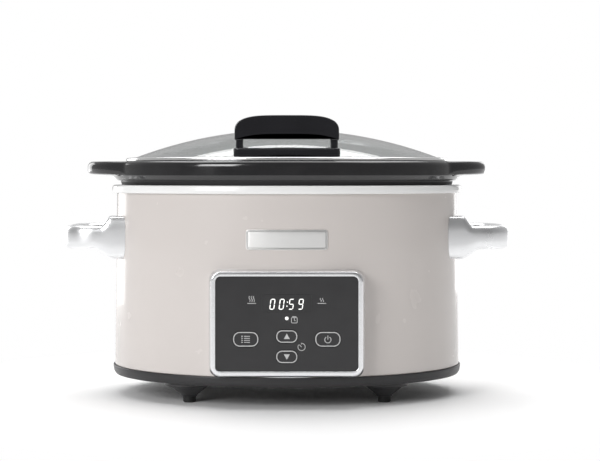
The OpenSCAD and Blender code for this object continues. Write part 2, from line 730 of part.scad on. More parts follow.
// ---------------------------------------------------------------- lid hinge

module knuckle(x0, x1) {
    rod_x(x0, x1, hinge_y, hinge_z, knuckle_r);
}

ear_ends = [
    [-hinge_w / 2, -hinge_w / 2 + ear_w], [-ear_w / 2, ear_w / 2], [hinge_w / 2 - ear_w, hinge_w / 2]
];

module hinge_bracket() color([0.12, 0.12, 0.13]) difference() {
    union() {
        translate([-hinge_w / 2, hinge_y - knuckle_r, z_bracket]) cube([hinge_w, 2 * knuckle_r, bracket_t]);
        for (e = ear_ends) {
            knuckle(e[0], e[1]);
            translate([e[0], hinge_y - knuckle_r, z_bracket])
                cube([e[1] - e[0], 2 * knuckle_r, hinge_z - z_bracket]);
        }
        for (sx = [-1, 1]) rod_z(sx * post_x, hinge_y, z_rim - post_l, z_bracket + 1, post_r);
    }
    rod_x(-hinge_w / 2 + 2, hinge_w / 2 + over, hinge_y, hinge_z, hinge_pin_r + pin_gap);
}

module hinge_pin() color([0.7, 0.7, 0.72])
    rod_x(-hinge_w / 2 + 2.2, hinge_w / 2 - 0.5, hinge_y, hinge_z, hinge_pin_r);

// ---------------------------------------------------------------- lid

module lid_glass() color([0.75, 0.8, 0.82, 0.4]) difference() {
    oval() intersection() {
        difference() {
            translate([0, z_dome]) circle(dome_r, $fn = big_fn);
            translate([0, z_dome]) circle(dome_r - glass_t, $fn = big_fn);
        }
        translate([0, z_rim - 20]) square([glass_a, 200]);
    }
    for (sx = [-1, 1]) {
        rod_z(sx * lid_screw_x, lid_handle_y + 1, z_rim - 20, z_apex, lid_screw_r + 0.6);
        rod_z(sx * hinge_screw_x, hinge_screw_y, z_rim - 20, z_apex, lid_screw_r + 0.6);
    }
}

// A folded metal band round the edge of the glass, with a flange over the crock's rim
z_band_low = z_glass_edge - glass_t - 1.4;
module lid_band() color([0.82, 0.82, 0.82]) oval() polygon([
    [glass_a - 5, z_band_low], [glass_a + band_wall, z_band_low], [glass_a + band_wall, z_rim + slide_gap],
    [band_a, z_rim + slide_gap], [band_a, z_rim + 2], [band_a - 0.6, z_rim + 2.6],
    [glass_a - 3, z_rim + 3.6], [glass_a - 3, z_rim + 2.6],
    [glass_a + touch, z_glass_edge + touch], [glass_a + touch, z_band_low + 0.8],
    [glass_a - 5, z_band_low + 0.8]
]);

module lid_handle_pad() color([0.13, 0.13, 0.14]) difference() {
    intersection() {
        dome_form(pad_t);
        translate([0, lid_handle_y, z_rim]) linear_extrude(60)
            round_rect(lid_handle_w + 2, lid_handle_d + 3, 8);
    }
    dome_form(touch);
    for (sx = [-1, 1]) rod_z(sx * lid_screw_x, lid_handle_y + 1, z_rim, z_apex, lid_screw_r + 0.2);
}

module lid_handle() color([0.14, 0.14, 0.15]) difference() {
    upright(lid_handle_y - lid_handle_d / 2, lid_handle_y + lid_handle_d / 2) difference() {
        translate([0, z_handle_top - 30]) round_rect(lid_handle_w, 60, lid_corner);
        translate([0, z_handle_top - lid_bar_h - 40]) round_rect(lid_handle_w - 2 * lid_leg_w, 80, 9);
    }
    dome_form(pad_t + touch);
    translate([-lid_handle_w, -reach_y, z_rim - 60]) cube([2 * lid_handle_w, reach_y, 60 + 3]);
    for (sx = [-1, 1])
        rod_z(sx * lid_screw_x, lid_handle_y + 1, z_rim, z_rim + 21, lid_screw_r + thread_gap);
}

// A screw from under the glass, its head held off the glass by a soft washer
washer_t = 1;
module lid_screw(x, y, top) {
    z_seat = dome_z(x, abs(y) + 4, -glass_t) - 0.4;
    rod_z(x, y, z_seat - washer_t - touch - screw_head_t, z_seat - washer_t - touch, screw_head_r + 0.5);
    rod_z(x, y, z_seat - washer_t - 0.5, top, lid_screw_r);
}

module lid_washer(x, y) {
    z_seat = dome_z(x, abs(y) + 4, -glass_t) - 0.4;
    difference() {
        rod_z(x, y, z_seat - washer_t, z_seat, 4);
        rod_z(x, y, z_seat - washer_t - over, z_seat + over, lid_screw_r + touch);
    }
}

module lid_handle_screws() color([0.75, 0.75, 0.77])
    for (sx = [-1, 1]) lid_screw(sx * lid_screw_x, lid_handle_y + 1, z_rim + 20);

module lid_hinge_screws() color([0.75, 0.75, 0.77])
    for (sx = [-1, 1]) lid_screw(sx * hinge_screw_x, hinge_screw_y, hinge_z + 1);

module lid_screw_washers() color([0.3, 0.3, 0.3]) for (sx = [-1, 1]) {
    lid_washer(sx * lid_screw_x, lid_handle_y + 1);
    lid_washer(sx * hinge_screw_x, hinge_screw_y);
}

arm_ends = [for (i = [0, 1]) [ear_ends[i][1] + ear_gap, ear_ends[i + 1][0] - ear_gap]];
arm_y = hinge_screw_y - 6;
arm_back_y = hinge_y - knuckle_r - 0.6;
module lid_hinge_arm() color([0.12, 0.12, 0.13]) difference() {
    union() {
        translate([arm_ends[0][0], arm_y, z_rim])
            cube([arm_ends[1][1] - arm_ends[0][0], arm_back_y - arm_y, hinge_z + knuckle_r - z_rim]);
        for (e = arm_ends) {
            knuckle(e[0], e[1]);
            translate([e[0], hinge_y - knuckle_r - over, hinge_z - knuckle_r * 0.4])
                cube([e[1] - e[0], knuckle_r + over, knuckle_r * 1.4]);
        }
    }
    dome_form(touch);
    // Clear of the band, the crock's rim and the bracket
    translate([-hinge_w, 0, z_rim - 20]) cube([2 * hinge_w, reach_y, 20 + 3.4]);
    rod_x(-hinge_w, hinge_w, hinge_y, hinge_z, hinge_pin_r + pin_gap);
    for (sx = [-1, 1])
        rod_z(sx * hinge_screw_x, hinge_screw_y, z_rim, hinge_z + 2, lid_screw_r + thread_gap);
}

// ---------------------------------------------------------------- nodes

base_pan();
leg_front_left();
leg_front_right();
leg_rear_left();
leg_rear_right();
foot_pads();
leg_screws();
rating_plate();
housing_wrap();
rim_ring();
badge();
left_handle();
right_handle();
handle_screws();
heating_liner();
liner_posts();
liner_screws();
heating_band();
band_springs();
insulation_blanket();
heat_shield();
panel_bezel();
panel_screws();
panel_fascia();
display_window();
display_module();
indicator_led();
control_pcb();
control_pcb_screws();
tact_switches();
power_pcb();
power_pcb_screws();
relay();
transformer();
filter_capacitor();
terminal_block();
thermistor();
thermal_fuse();
heater_leads();
cord_gland();
button_menu();
button_up();
button_down();
button_power();
crock();
hinge_bracket();
hinge_pin();
lid_glass();
lid_band();
lid_handle_pad();
lid_handle();
lid_handle_screws();
lid_hinge_arm();
lid_hinge_screws();
lid_screw_washers();
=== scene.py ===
# %% [markdown]
# # A countertop slow cooker
#
# The cooker is an oval machine: a painted metal wrap stands on a black base, a
# white ring closes its top, a stoneware crock hangs inside and a glass lid is
# hinged to the back of the crock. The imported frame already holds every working
# part at its real place and size, so this lesson only gives the parts their
# looks. The first cell loads the frame and keeps the size of the CAD model.

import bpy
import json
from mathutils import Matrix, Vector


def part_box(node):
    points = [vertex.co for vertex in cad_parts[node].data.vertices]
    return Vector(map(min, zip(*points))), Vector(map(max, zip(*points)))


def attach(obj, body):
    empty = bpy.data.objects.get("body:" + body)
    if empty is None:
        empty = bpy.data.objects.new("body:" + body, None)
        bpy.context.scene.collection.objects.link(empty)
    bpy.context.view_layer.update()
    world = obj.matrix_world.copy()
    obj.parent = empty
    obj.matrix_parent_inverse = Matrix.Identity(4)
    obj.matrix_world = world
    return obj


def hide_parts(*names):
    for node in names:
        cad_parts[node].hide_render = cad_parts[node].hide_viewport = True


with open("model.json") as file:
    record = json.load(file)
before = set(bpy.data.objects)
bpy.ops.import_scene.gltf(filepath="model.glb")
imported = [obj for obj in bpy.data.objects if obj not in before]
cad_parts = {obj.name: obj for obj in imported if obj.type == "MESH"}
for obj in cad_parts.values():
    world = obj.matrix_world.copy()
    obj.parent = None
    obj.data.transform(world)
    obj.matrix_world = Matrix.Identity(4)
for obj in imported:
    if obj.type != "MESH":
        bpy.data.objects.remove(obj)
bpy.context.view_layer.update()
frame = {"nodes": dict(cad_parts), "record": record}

# %% [markdown]
# The rest of the tools are Blender's own. Sizes are written in millimetres and
# turned into metres by one factor, because a designer reads 2.8 mm more easily
# than 0.0028 m.

# %% Tools and units
import json
from math import acos, cos, pi, radians, sin, sqrt, tan

import bmesh
import bpy
from mathutils import Matrix, Vector

mm = 0.001
scene = bpy.context.scene

# %% [markdown]
# The main measures come from the frame: each half width is read where the CAD
# part has it. Every oval has the same ratio of depth to width, so one number
# turns a radius at the side into a radius at the front.

# %% Measures taken from the frame
def highest_x(node, low, high):
    """The half width of a CAD part between two levels."""
    points = (v.co for v in frame["nodes"][node].data.vertices)
    return max(p.x for p in points if low <= p.z <= high)


wrap_low, wrap_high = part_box("housing_wrap")
ring_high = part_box("rim_ring")[1]
crock_low, crock_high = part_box("crock")
glass_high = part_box("lid_glass")[1]
ratio = wrap_high.y / wrap_high.x
wrap_foot = wrap_high.x
wrap_top = highest_x("housing_wrap", wrap_high.z - 0.01 * mm, wrap_high.z + mm)
rim_half = -crock_low.y / ratio
print("ratio", round(ratio, 4), "wrap", round(wrap_foot, 4), round(wrap_top, 4), "rim", round(rim_half, 4))


def wrap_half(z):
    """Half width of the painted wrap at a level."""
    share = (z - wrap_low.z) / (wrap_high.z - wrap_low.z)
    return wrap_foot + (wrap_top - wrap_foot) * share


def wrap_front(x, z, out=0.0):
    """How far in front of the middle the wrap's face is, at a place seen from the front."""
    half = wrap_half(z) + out
    return ratio * sqrt(half * half - x * x)


# %% [markdown]
# The camera stands level in front of the cooker, at the height of the rim. A
# level camera keeps the upright lines upright, and a small shift of the lens
# puts the object in the frame in place of a tilt. The lens is long, so the
# oval shows almost no perspective.

# %% Camera
camera_data = bpy.data.cameras.new("camera")
camera_data.lens = 96.6
camera_data.shift_x = 0.022
camera_data.shift_y = -0.0975
camera = bpy.data.objects.new("camera", camera_data)
camera.location = (0, -1.4, 0.19)
camera.rotation_euler = (pi / 2, 0, 0)
scene.collection.objects.link(camera)
scene.camera = camera
scene.view_settings.view_transform = "Standard"

# %% [markdown]
# Shader and geometry trees are easier to read as sums than as wired boxes.
# A `Wire` stands for one output of a node, and its operators add Math nodes. A
# `Tree` adds any other node with its settings and inputs in one call.

# %% Wires and trees
def operator(name, flip=False):
    """An operator of a Wire that adds one Math node. Flipped, the other value comes first."""
    return lambda wire, other: wire.math(name, other, flip=flip)


class Wire:
    """One output of a node. Arithmetic on it adds Math nodes to the same tree."""

    def __init__(self, tree, socket):
        self.tree = tree
        self.socket = socket

    def math(self, operation, *others, flip=False):
        values = [*others, self] if flip else [self, *others]
        return self.tree.node("ShaderNodeMath", {"operation": operation}, dict(enumerate(values)))

    __add__ = __radd__ = operator("ADD")
    __mul__ = __rmul__ = operator("MULTIPLY")
    __sub__, __rsub__ = operator("SUBTRACT"), operator("SUBTRACT", flip=True)
    __truediv__, __rtruediv__ = operator("DIVIDE"), operator("DIVIDE", flip=True)
    __pow__, __gt__, __lt__ = operator("POWER"), operator("GREATER_THAN"), operator("LESS_THAN")


class Tree:
    """A node tree, with one method that adds a node, sets it and feeds its sockets."""

    def __init__(self, tree):
        self.tree = tree

    def feed(self, socket, value):
        if isinstance(value, Wire):
            self.tree.links.new(value.socket, socket)
        else:
            socket.default_value = value

    def node(self, kind, settings=None, inputs=None, output=0):
        made = self.tree.nodes.new(kind)
        for name, value in (settings or {}).items():
            setattr(made, name, value)
        for name, value in (inputs or {}).items():
            self.feed(made.inputs[name], value)
        return Wire(self, made.outputs[output])

# %% [markdown]
# A white studio is a pale floor, a white world and a few soft boxes. The world
# looks white to the camera but lights the object more weakly, which keeps the
# black glaze black. Glossy paint and chrome show the soft boxes themselves, so
# each box is placed for the streak that it draws: two tall narrow ones at the
# sides draw the bright lines along the edges of the housing.

# %% Floor, world and soft boxes
def soft_box(name, place, aim, width, height, power):
    """A rectangular area light that looks at a point."""
    data = bpy.data.lights.new(name, "AREA")
    data.shape = "RECTANGLE"
    data.size = width
    data.size_y = height
    data.energy = power
    light = bpy.data.objects.new(name, data)
    light.location = place
    light.rotation_euler = (Vector(aim) - Vector(place)).to_track_quat("-Z", "Y").to_euler()
    scene.collection.objects.link(light)
    return light


MIDDLE = (0, 0, 0.11)
soft_box("key_box", (-1.2, -1.6, 0.9), MIDDLE, 0.8, 1.0, 24)
soft_box("top_box", (0, 0.45, 1.5), (0, 0.3, 0), 1.8, 1.7, 28)
soft_box("left_strip", (-0.8, 0.74, 0.2), (-0.14, 0, 0.1), 0.5, 0.9, 3.2)
soft_box("right_strip", (0.62, 1.1, 0.2), (0.14, 0, 0.1), 0.4, 0.9, 1.5)

# The light that the object gets from the front and from the back of the room
ROOM_FRONT, ROOM_BACK = 0.2, 0.5
world = bpy.data.worlds.new("studio")
scene.world = world
world.use_nodes = True
sky = Tree(world.node_tree)
direction = sky.node("ShaderNodeTexCoord", output="Generated")
depth = sky.node("ShaderNodeSeparateXYZ", None, {"Vector": direction}, "Y")
span = {"Value": depth, "From Min": -1.0, "To Min": ROOM_FRONT, "To Max": ROOM_BACK}
room = sky.node("ShaderNodeMapRange", None, span)
seen = sky.node("ShaderNodeLightPath", output="Is Camera Ray")
level = sky.node("ShaderNodeMix", None, {"Factor": seen, "A": room, "B": 1.0})
background = sky.tree.nodes["Background"]
background.inputs["Color"].default_value = (1, 1, 1, 1)
sky.feed(background.inputs["Strength"], level)

# The floor is painted near the cooker and glows white further out, between these distances
FADE_FROM, FADE_TO = 0.17, 0.36
floor_mesh = bpy.data.meshes.new("floor")
floor_mesh.from_pydata([(-4, -3, 0), (4, -3, 0), (4, 5, 0), (-4, 5, 0)], [], [(0, 1, 2, 3)])
floor = bpy.data.objects.new("floor", floor_mesh)
scene.collection.objects.link(floor)
floor_paint = bpy.data.materials.new("floor_white")
floor_paint.use_nodes = True
ground = Tree(floor_paint.node_tree)
paint = ground.tree.nodes["Principled BSDF"]
paint.inputs["Base Color"].default_value = (0.93, 0.93, 0.93, 1)
paint.inputs["Roughness"].default_value = 0.6
where = ground.node("ShaderNodeTexCoord", output="Object")
far = ground.node("ShaderNodeVectorMath", {"operation": "LENGTH"}, {0: where}, "Value")
span = {"Value": far, "From Min": FADE_FROM, "From Max": FADE_TO}
fade = ground.node("ShaderNodeMapRange", {"interpolation_type": "SMOOTHSTEP"}, span)
white = ground.node("ShaderNodeEmission")
both = ground.node("ShaderNodeMixShader", None, {"Fac": fade, 1: Wire(ground, paint.outputs["BSDF"]), 2: white})
ground.feed(ground.tree.nodes["Material Output"].inputs["Surface"], both)
floor_mesh.materials.append(floor_paint)

# %% [markdown]
# Each finish below starts from the same few lines: a Principled surface, the
# object's own coordinates and a helper for noise. Object coordinates are in
# metres on every part, so a noise scale of 900 has features about a millimetre
# wide wherever it is used.

# %% A new finish and its noise
class Finish(Tree):
    """A material being made: its surface, its coordinates and a few habits."""

    def __init__(self, name, **constants):
        self.material = bpy.data.materials.new(name)
        self.material.use_nodes = True
        super().__init__(self.material.node_tree)
        self.surface = self.tree.nodes["Principled BSDF"]
        self.place = self.node("ShaderNodeTexCoord", output="Object")
        self.put(**constants)

    def put(self, **values):
        for name, value in values.items():
            self.feed(self.surface.inputs[name.replace("_", " ").title().replace("Ior", "IOR")], value)

    def noise(self, scale, detail=2.0, place=None):
        inputs = {"Vector": place or self.place, "Scale": scale, "Detail": detail}
        return self.node("ShaderNodeTexNoise", None, inputs, "Fac")

    def stretched(self, x, y, z):
        return self.node("ShaderNodeMapping", None, {"Vector": self.place, "Scale": (x, y, z)})

    def between(self, share, low, high):
        """A number that goes from low to high as share goes from 0.3 to 0.7."""
        span = {"Value": share, "From Min": 0.3, "From Max": 0.7, "To Min": low, "To Max": high}
        return self.node("ShaderNodeMapRange", None, span)

    def mixed(self, share, first, second):
        """A colour between two, as 3 numbers each."""
        colours = {0: share, 6: (*first, 1), 7: (*second, 1)}
        return self.node("ShaderNodeMix", {"data_type": "RGBA"}, colours, 2)

    def bump(self, height, strength, distance):
        values = {"Height": height, "Strength": strength, "Distance": distance}
        self.put(Normal=self.node("ShaderNodeBump", None, values))


# %% [markdown]
# ## The painted wrap and the white ring
#
# Oven enamel is glossy, but never a perfect mirror: it dries with a faint
# orange peel a few millimetres wide, and hands leave patches that are a little
# duller. Both are noises on the object's coordinates, kept very weak.

# %% Enamel and white gloss
def noisy(name, colour, gloss, relief, **constants):
    """A finish made of three noises, each given as (scale, detail, low, high).

    The relief has its strength and its depth in millimetres in place of low and high.
    """
    f = Finish(name, **constants)
    f.put(base_color=f.mixed(f.noise(*colour[:2]), *colour[2:]))
    f.put(roughness=f.between(f.noise(*gloss[:2]), *gloss[2:]))
    f.bump(f.noise(*relief[:2]), relief[2], relief[3] * mm)
    return f.material


enamel = noisy("housing_enamel", (14, 3, (0.6, 0.558, 0.535), (0.62, 0.577, 0.553)), (32, 4, 0.2, 0.28),
               (420, 1, 0.02, 0.05), coat_weight=0.5, coat_roughness=0.05)
white_gloss = noisy("ring_white", (18, 2, (0.78, 0.78, 0.775), (0.82, 0.82, 0.815)), (50, 3, 0.16, 0.24),
                    (600, 1, 0.04, 0.1), coat_weight=0.4, coat_roughness=0.05)
print("made", enamel.name, white_gloss.name)

# %% [markdown]
# ## Black parts
#
# Four blacks are on this cooker. The base is moulded in a spark-eroded tool
# and is fine grained; the handle and the hinge are polished; the fascia is the
# smoothest; and the crock wears a thick glaze that pools, so its surface has
# slow waves and a few pinholes.

# %% Moulded, polished and glazed black
moulded_black = noisy("moulded_black", (60, 3, (0.014, 0.0135, 0.0145), (0.022, 0.021, 0.023)),
                      (2400, 2, 0.3, 0.46), (2400, 2, 0.22, 0.06))
polished_black = noisy("polished_black", (40, 2, (0.006, 0.006, 0.0075), (0.011, 0.011, 0.014)),
                       (70, 4, 0.07, 0.14), (500, 1, 0.02, 0.1), coat_weight=0.3, coat_roughness=0.03)
fascia_black, window_black = (
    noisy("fascia_black", (55, 3, (0.017, 0.0165, 0.018), (0.022, 0.0215, 0.023)), (90, 5, 0.14, 0.22),
          (1500, 1, 0.03, 0.05)) for _ in range(2))

# Foot of the rim: below this level the crock's colour is painted darker, as shade in the neck
NECK_SHADE_TOP = crock_high.z - 16.8 * mm


def black_glaze():
    """Black glaze down to the foot of the rim. Below it the colour is painted darker as shade in the neck, and
    the surface is rough and has no coat.
    """
    f = Finish("stoneware_glaze", coat_roughness=0.04)
    cells = f.node("ShaderNodeTexVoronoi", None, {"Vector": f.place, "Scale": 260}, "Distance")
    pits = (cells < 0.045) * (f.noise(25) > 0.54)
    level = f.node("ShaderNodeSeparateXYZ", None, {0: f.place}, 2)
    # Painted shade: below the foot of the rim the base colour goes to the darkest black, with more roughness
    # and no coat, so the neck looks shaded
    painted_neck_shade = level < NECK_SHADE_TOP
    f.put(base_color=f.mixed(f.noise(90, 6) - 0.6 * painted_neck_shade, (0.0085, 0.0085, 0.0095), (0.017, 0.0165, 0.0175)))
    f.put(roughness=f.between(f.noise(45, 4), 0.09, 0.17) + 0.3 * pits + 0.45 * painted_neck_shade)
    f.put(coat_weight=0.4 - 0.4 * painted_neck_shade)
    f.bump(f.noise(55, 2) - 0.25 * pits, 0.1, 0.4 * mm)
    return f.material


# %% [markdown]
# ## Metals
#
# The side handles and the bezel are plated and polished, the lid's band is
# rolled steel, the badge is brushed along its length, and the inner pan is
# hot-dipped, which leaves large pale flowers of zinc and aluminium. Brushing
# is a noise that is stretched along one axis.

# %% Plated, brushed and dipped metal
def plated(name, tint, rough):
    pale = tuple(min(1, 1.05 * c) for c in tint)
    return noisy(name, (22, 3, tint, pale), (60, 5, rough, rough + 0.05), (700, 2, 0.01, 0.05), metallic=1.0)


def brushed(name, tint, stretch):
    f = Finish(name, metallic=0.75)
    lines = f.noise(30, 3, f.stretched(*stretch))
    f.put(base_color=f.mixed(lines, tuple(0.96 * c for c in tint), tint))
    f.put(roughness=f.between(lines, 0.3, 0.38))
    f.bump(lines, 0.04, 0.02 * mm)
    return f.material


def dipped():
    f = Finish("dipped_sheet", metallic=1.0)
    flowers = f.node("ShaderNodeTexVoronoi", None, {"Vector": f.place, "Scale": 70}, "Color")
    flower = f.node("ShaderNodeSeparateColor", None, {0: flowers})
    f.put(base_color=f.mixed(flower, (0.42, 0.43, 0.45), (0.6, 0.61, 0.63)))
    f.put(roughness=f.between(f.noise(120, 3), 0.3, 0.45))
    f.bump(f.noise(300, 2), 0.05, 0.1 * mm)
    return f.material


# %% [markdown]
# ## Glass, rubber, cloth and boards
#
# The lid is real glass: full transmission and a refractive index of 1.5, with
# only its roughness varied by a film of steam marks. The parts that stay
# inside the housing get plain but true finishes, because a repairer would see
# them: solder mask with tracks, woven heating tape and felted wool.

# %% The other finishes
def clear_glass():
    f = Finish("lid_glass", transmission_weight=1.0, ior=1.5)
    f.put(base_color=f.mixed(f.noise(12), (0.93, 0.955, 0.95), (0.96, 0.975, 0.97)))
    f.put(roughness=f.between(f.noise(30, 4), 0.0, 0.02))
    return f.material


def matt(name, dark, pale, scale, low, high, bump):
    """A plain coloured solid with a fine grain."""
    return noisy(name, (scale, 3, dark, pale), (scale, 3, low, high), (scale, 3, bump, 0.1))


def woven(name, dark, pale, scale):
    """Cloth: two sets of threads that cross."""
    f = Finish(name, sheen_weight=0.2)
    split = f.node("ShaderNodeSeparateXYZ", None, {0: f.place}, 2)
    across = f.node("ShaderNodeSeparateXYZ", None, {0: f.place}, 0)
    weave = (split * scale).math("SINE") * (across * scale).math("SINE") * 0.5 + 0.5
    f.put(base_color=f.mixed(weave, dark, pale), roughness=f.between(f.noise(300), 0.75, 0.95))
    f.bump(weave, 0.4, 0.3 * mm)
    return f.material


def circuit_board():
    f = Finish("solder_mask")
    grid = {"Vector": f.place, "Scale": 240, "Color1": (0, 0, 0, 1), "Color2": (1, 1, 1, 1)}
    tracks = f.node("ShaderNodeTexChecker", None, grid, "Fac")
    shade = tracks * (f.noise(180) > 0.5)
    f.put(base_color=f.mixed(shade, (0.008, 0.085, 0.035), (0.02, 0.16, 0.065)))
    f.put(roughness=f.between(f.noise(200), 0.3, 0.45))
    f.bump(shade, 0.1, 0.05 * mm)
    return f.material


def glowing(name, colour, strength):
    f = Finish(name, emission_strength=strength, base_color=(*colour, 1), roughness=0.4)
    f.put(emission_color=f.mixed(f.noise(400), tuple(0.92 * c for c in colour), colour))
    return f.material


# %% Make every finish once
finishes = {
    "housing_paint": enamel,
    "rim_white": white_gloss,
    "black_plastic": moulded_black,
    "handle_black": polished_black,
    "fascia_black": fascia_black,
    "display_dark": window_black,
    "led_lens": glowing("led_lens", (0.95, 0.95, 0.92), 0.6),
    "handle_chrome": plated("handle_plating", (0.86, 0.865, 0.875), 0.27),
    "bezel_chrome": plated("bezel_plating", (0.84, 0.845, 0.86), 0.2),
    "satin_plate": brushed("brushed_plate", (0.9, 0.895, 0.885), (2, 60, 60)),
    "lid_steel": plated("band_steel", (0.93, 0.93, 0.93), 0.13),
    "screw_steel": brushed("zinc_steel", (0.55, 0.56, 0.58), (8, 8, 1)),
    "liner_metal": dipped(),
    "stoneware": black_glaze(),
    "lid_glass": clear_glass(),
    "rubber": matt("soft_rubber", (0.008, 0.008, 0.008), (0.014, 0.014, 0.014), 900, 0.6, 0.8, 0.2),
    "heater_mica": woven("heating_tape", (0.24, 0.18, 0.1), (0.42, 0.34, 0.22), 3000),
    "glass_wool": woven("glass_wool", (0.62, 0.58, 0.42), (0.78, 0.75, 0.62), 1500),
    "board_green": circuit_board(),
    "component_black": matt("component_black", (0.015, 0.015, 0.016), (0.025, 0.025, 0.027), 700, 0.4, 0.6,
                            0.1),
    "component_blue": matt("component_blue", (0.02, 0.055, 0.18), (0.03, 0.07, 0.22), 500, 0.35, 0.5, 0.1),
    "component_yellow": matt("component_yellow", (0.6, 0.42, 0.06), (0.68, 0.5, 0.1), 500, 0.35, 0.5, 0.1),
    "print_grey": matt("print_grey", (0.5, 0.5, 0.5), (0.58, 0.58, 0.58), 900, 0.4, 0.55, 0.02),
    "lead_red": matt("lead_red", (0.36, 0.02, 0.012), (0.42, 0.03, 0.018), 600, 0.45, 0.6, 0.1),
}
print("finishes", len(finishes))

# %% [markdown]
# ## Drawing tools
#
# Every moulded edge is a small round, and that round is what catches the
# light. `fillet` puts a round on each corner of a drawn line. A corner may
# carry more numbers after its radius; the points of its round carry the same
# numbers.

# %% Lines with rounded corners
STRAIGHT = radians(89)


def fillet(corners, closed=True, step=12):
    """Points along a line whose corners are (u, v, radius, more...). A round has a point each step degrees."""
    points = []
    for i, (u, v, radius, *more) in enumerate(corners):
        at_end = not closed and i in (0, len(corners) - 1)
        if radius <= 0 or at_end:
            points.append((u, v, *more))
            continue
        corner = Vector((u, v))
        before = (Vector(corners[i - 1][:2]) - corner).normalized()
        after = (Vector(corners[(i + 1) % len(corners)][:2]) - corner).normalized()
        half = before.angle(after) / 2
        if half > STRAIGHT:
            points.append((u, v, *more))
            continue
        centre = corner + (before + after).normalized() * radius / sin(half)
        start = corner + before * radius / tan(half) - centre
        turn = start.angle_signed(corner + after * radius / tan(half) - centre)
        count = max(2, round(abs(turn) / radians(step)))
        for k in range(count + 1):
            spoke = Matrix.Rotation(-turn * k / count, 2) @ start
            points.append((centre.x + spoke.x, centre.y + spoke.y, *more))
    return points


def round_rect(w, h, r, along=1, round_steps=8, u0=0.0, v0=0.0):
    """A rounded rectangle with the same count of points whatever its size: for skins between several."""
    points = []
    for k, (su, sv) in enumerate([(1, 1), (-1, 1), (-1, -1), (1, -1)]):
        centre = Vector((su * (w / 2 - r), sv * (h / 2 - r)))
        for i in range(round_steps + 1):
            t = pi / 2 * (k + i / round_steps)
            points.append((u0 + centre.x + r * cos(t), v0 + centre.y + r * sin(t)))
        span = (-2 * (w / 2 - r), 0) if k % 2 == 0 else (0, -2 * (h / 2 - r))
        span = span if k < 2 else (-span[0], -span[1])
        last = points[-1]
        for i in range(1, along):
            points.append((last[0] + span[0] * i / along, last[1] + span[1] * i / along))
    return points


def circle(r, u0=0.0, v0=0.0, count=32):
    return [(u0 + r * cos(2 * pi * i / count), v0 + r * sin(2 * pi * i / count)) for i in range(count)]


# %% [markdown]
# A `Piece` collects faces. Most shapes on the cooker are a skin over a row of
# loops that have the same number of points. The last step gives every corner
# of every face a normal in which large faces count more than small ones, so a
# flat stays flat and its round takes all of the change of shade.

# %% Pieces made of skins
FACING = 0.55


def even_shading(mesh):
    """Sets the normals so that large faces keep theirs. Corners sharper than the limit stay sharp."""
    mesh.polygons.foreach_set("use_smooth", [True] * len(mesh.polygons))
    around = [[] for _ in mesh.vertices]
    for face in mesh.polygons:
        for v in face.vertices:
            around[v].append(face)
    normals = []
    for face in mesh.polygons:
        for v in face.vertices:
            near = [g.normal * g.area for g in around[v] if g.normal.dot(face.normal) > FACING]
            total = sum(near, Vector())
            normals.append(total.normalized() if total.length > 0 else face.normal)
    mesh.normals_split_custom_set(normals)


def tidy_mesh(mesh, weld=0.001 * mm):
    """Joins points that lie together and turns all the faces outwards."""
    work = bmesh.new()
    work.from_mesh(mesh)
    bmesh.ops.remove_doubles(work, verts=work.verts, dist=weld)
    bmesh.ops.recalc_face_normals(work, faces=work.faces)
    work.to_mesh(mesh)
    work.free()
    mesh.update()
    even_shading(mesh)


class Piece:
    """Collects skins and makes one object of them."""

    def __init__(self):
        self.points, self.faces, self.paints, self.finish, self.used = [], [], [], None, []

    def paint(self, slot):
        if slot not in self.used:
            self.used.append(slot)
        self.finish = self.used.index(slot)
        return self

    def face(self, corners):
        self.faces.append(corners)
        self.paints.append(self.finish)

    def skin(self, loops, cyclic=False, start=True, end=True):
        """Quads between each loop and the next. The ends are capped unless they are left open."""
        base, size = len(self.points), len(loops[0])
        for loop in loops:
            self.points.extend(loop)
        rows = len(loops)
        for r in range(rows if cyclic else rows - 1):
            a, b = base + r * size, base + (r + 1) % rows * size
            for i in range(size):
                j = (i + 1) % size
                self.face([a + i, a + j, b + j, b + i])
        if start and not cyclic:
            self.face([base + i for i in range(size)])
        if end and not cyclic:
            self.face([base + (rows - 1) * size + i for i in reversed(range(size))])
        return self

    def slab(self, outline, y_front, y_back, bevel=0.0, steps=3):
        """An outline seen from the front, with a round along its front and back edges."""
        turns = [pi / 2 * k / steps for k in range(steps + 1)] if bevel else [0.0]
        rows = [(bevel - bevel * sin(t), bevel - bevel * cos(t)) for t in turns]
        front = [(inset, y_front + depth) for inset, depth in rows]
        back = [(inset, y_back - depth) for inset, depth in reversed(rows)]
        loops = [[(u, y, v) for u, v in shrink(outline, inset)] for inset, y in front + back]
        return self.skin(loops)

    def hoop(self, outer, inner, y_front, y_back):
        """A flat ring seen from the front, between two outlines with the same count of points."""
        edges = [(outer, y_back), (outer, y_front), (inner, y_front), (inner, y_back)]
        return self.skin([[(u, y, v) for u, v in line] for line, y in edges], cyclic=True)

    def turned(self, profile, x, y, count=40, axis="Z", hollow=False):
        """A turned form about a line along one axis. A hollow form has a closed profile."""
        put = {"X": lambda u, v, level: (level, u, v), "Y": lambda u, v, level: (u, level, v),
               "Z": lambda u, v, level: (u, v, level)}[axis]
        loops = [[put(u, v, level) for u, v in circle(r, x, y, count)] for r, level in profile]
        return self.skin(loops, cyclic=hollow)

    def make(self, name, body, *nodes):
        mesh = bpy.data.meshes.new(name)
        mesh.from_pydata(self.points, [], self.faces)
        for slot in self.used:
            mesh.materials.append(finishes[slot])
        mesh.polygons.foreach_set("material_index", self.paints)
        tidy_mesh(mesh)
        return enter(bpy.data.objects.new(name, mesh), self.used[0], body, *nodes)


def enter(piece, slot, body, *nodes):
    """Puts a finished piece in the scene, on its body and in place of its CAD nodes.

    The slot is not used. The record has no slot for print, so printed pieces take the slot
    of the other pale lens.
    """
    if not piece.users_collection:
        scene.collection.objects.link(piece)
    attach(piece, body)
    "led_lens" if slot == "print_grey" else slot
    if nodes:
        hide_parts(*nodes)
    return piece


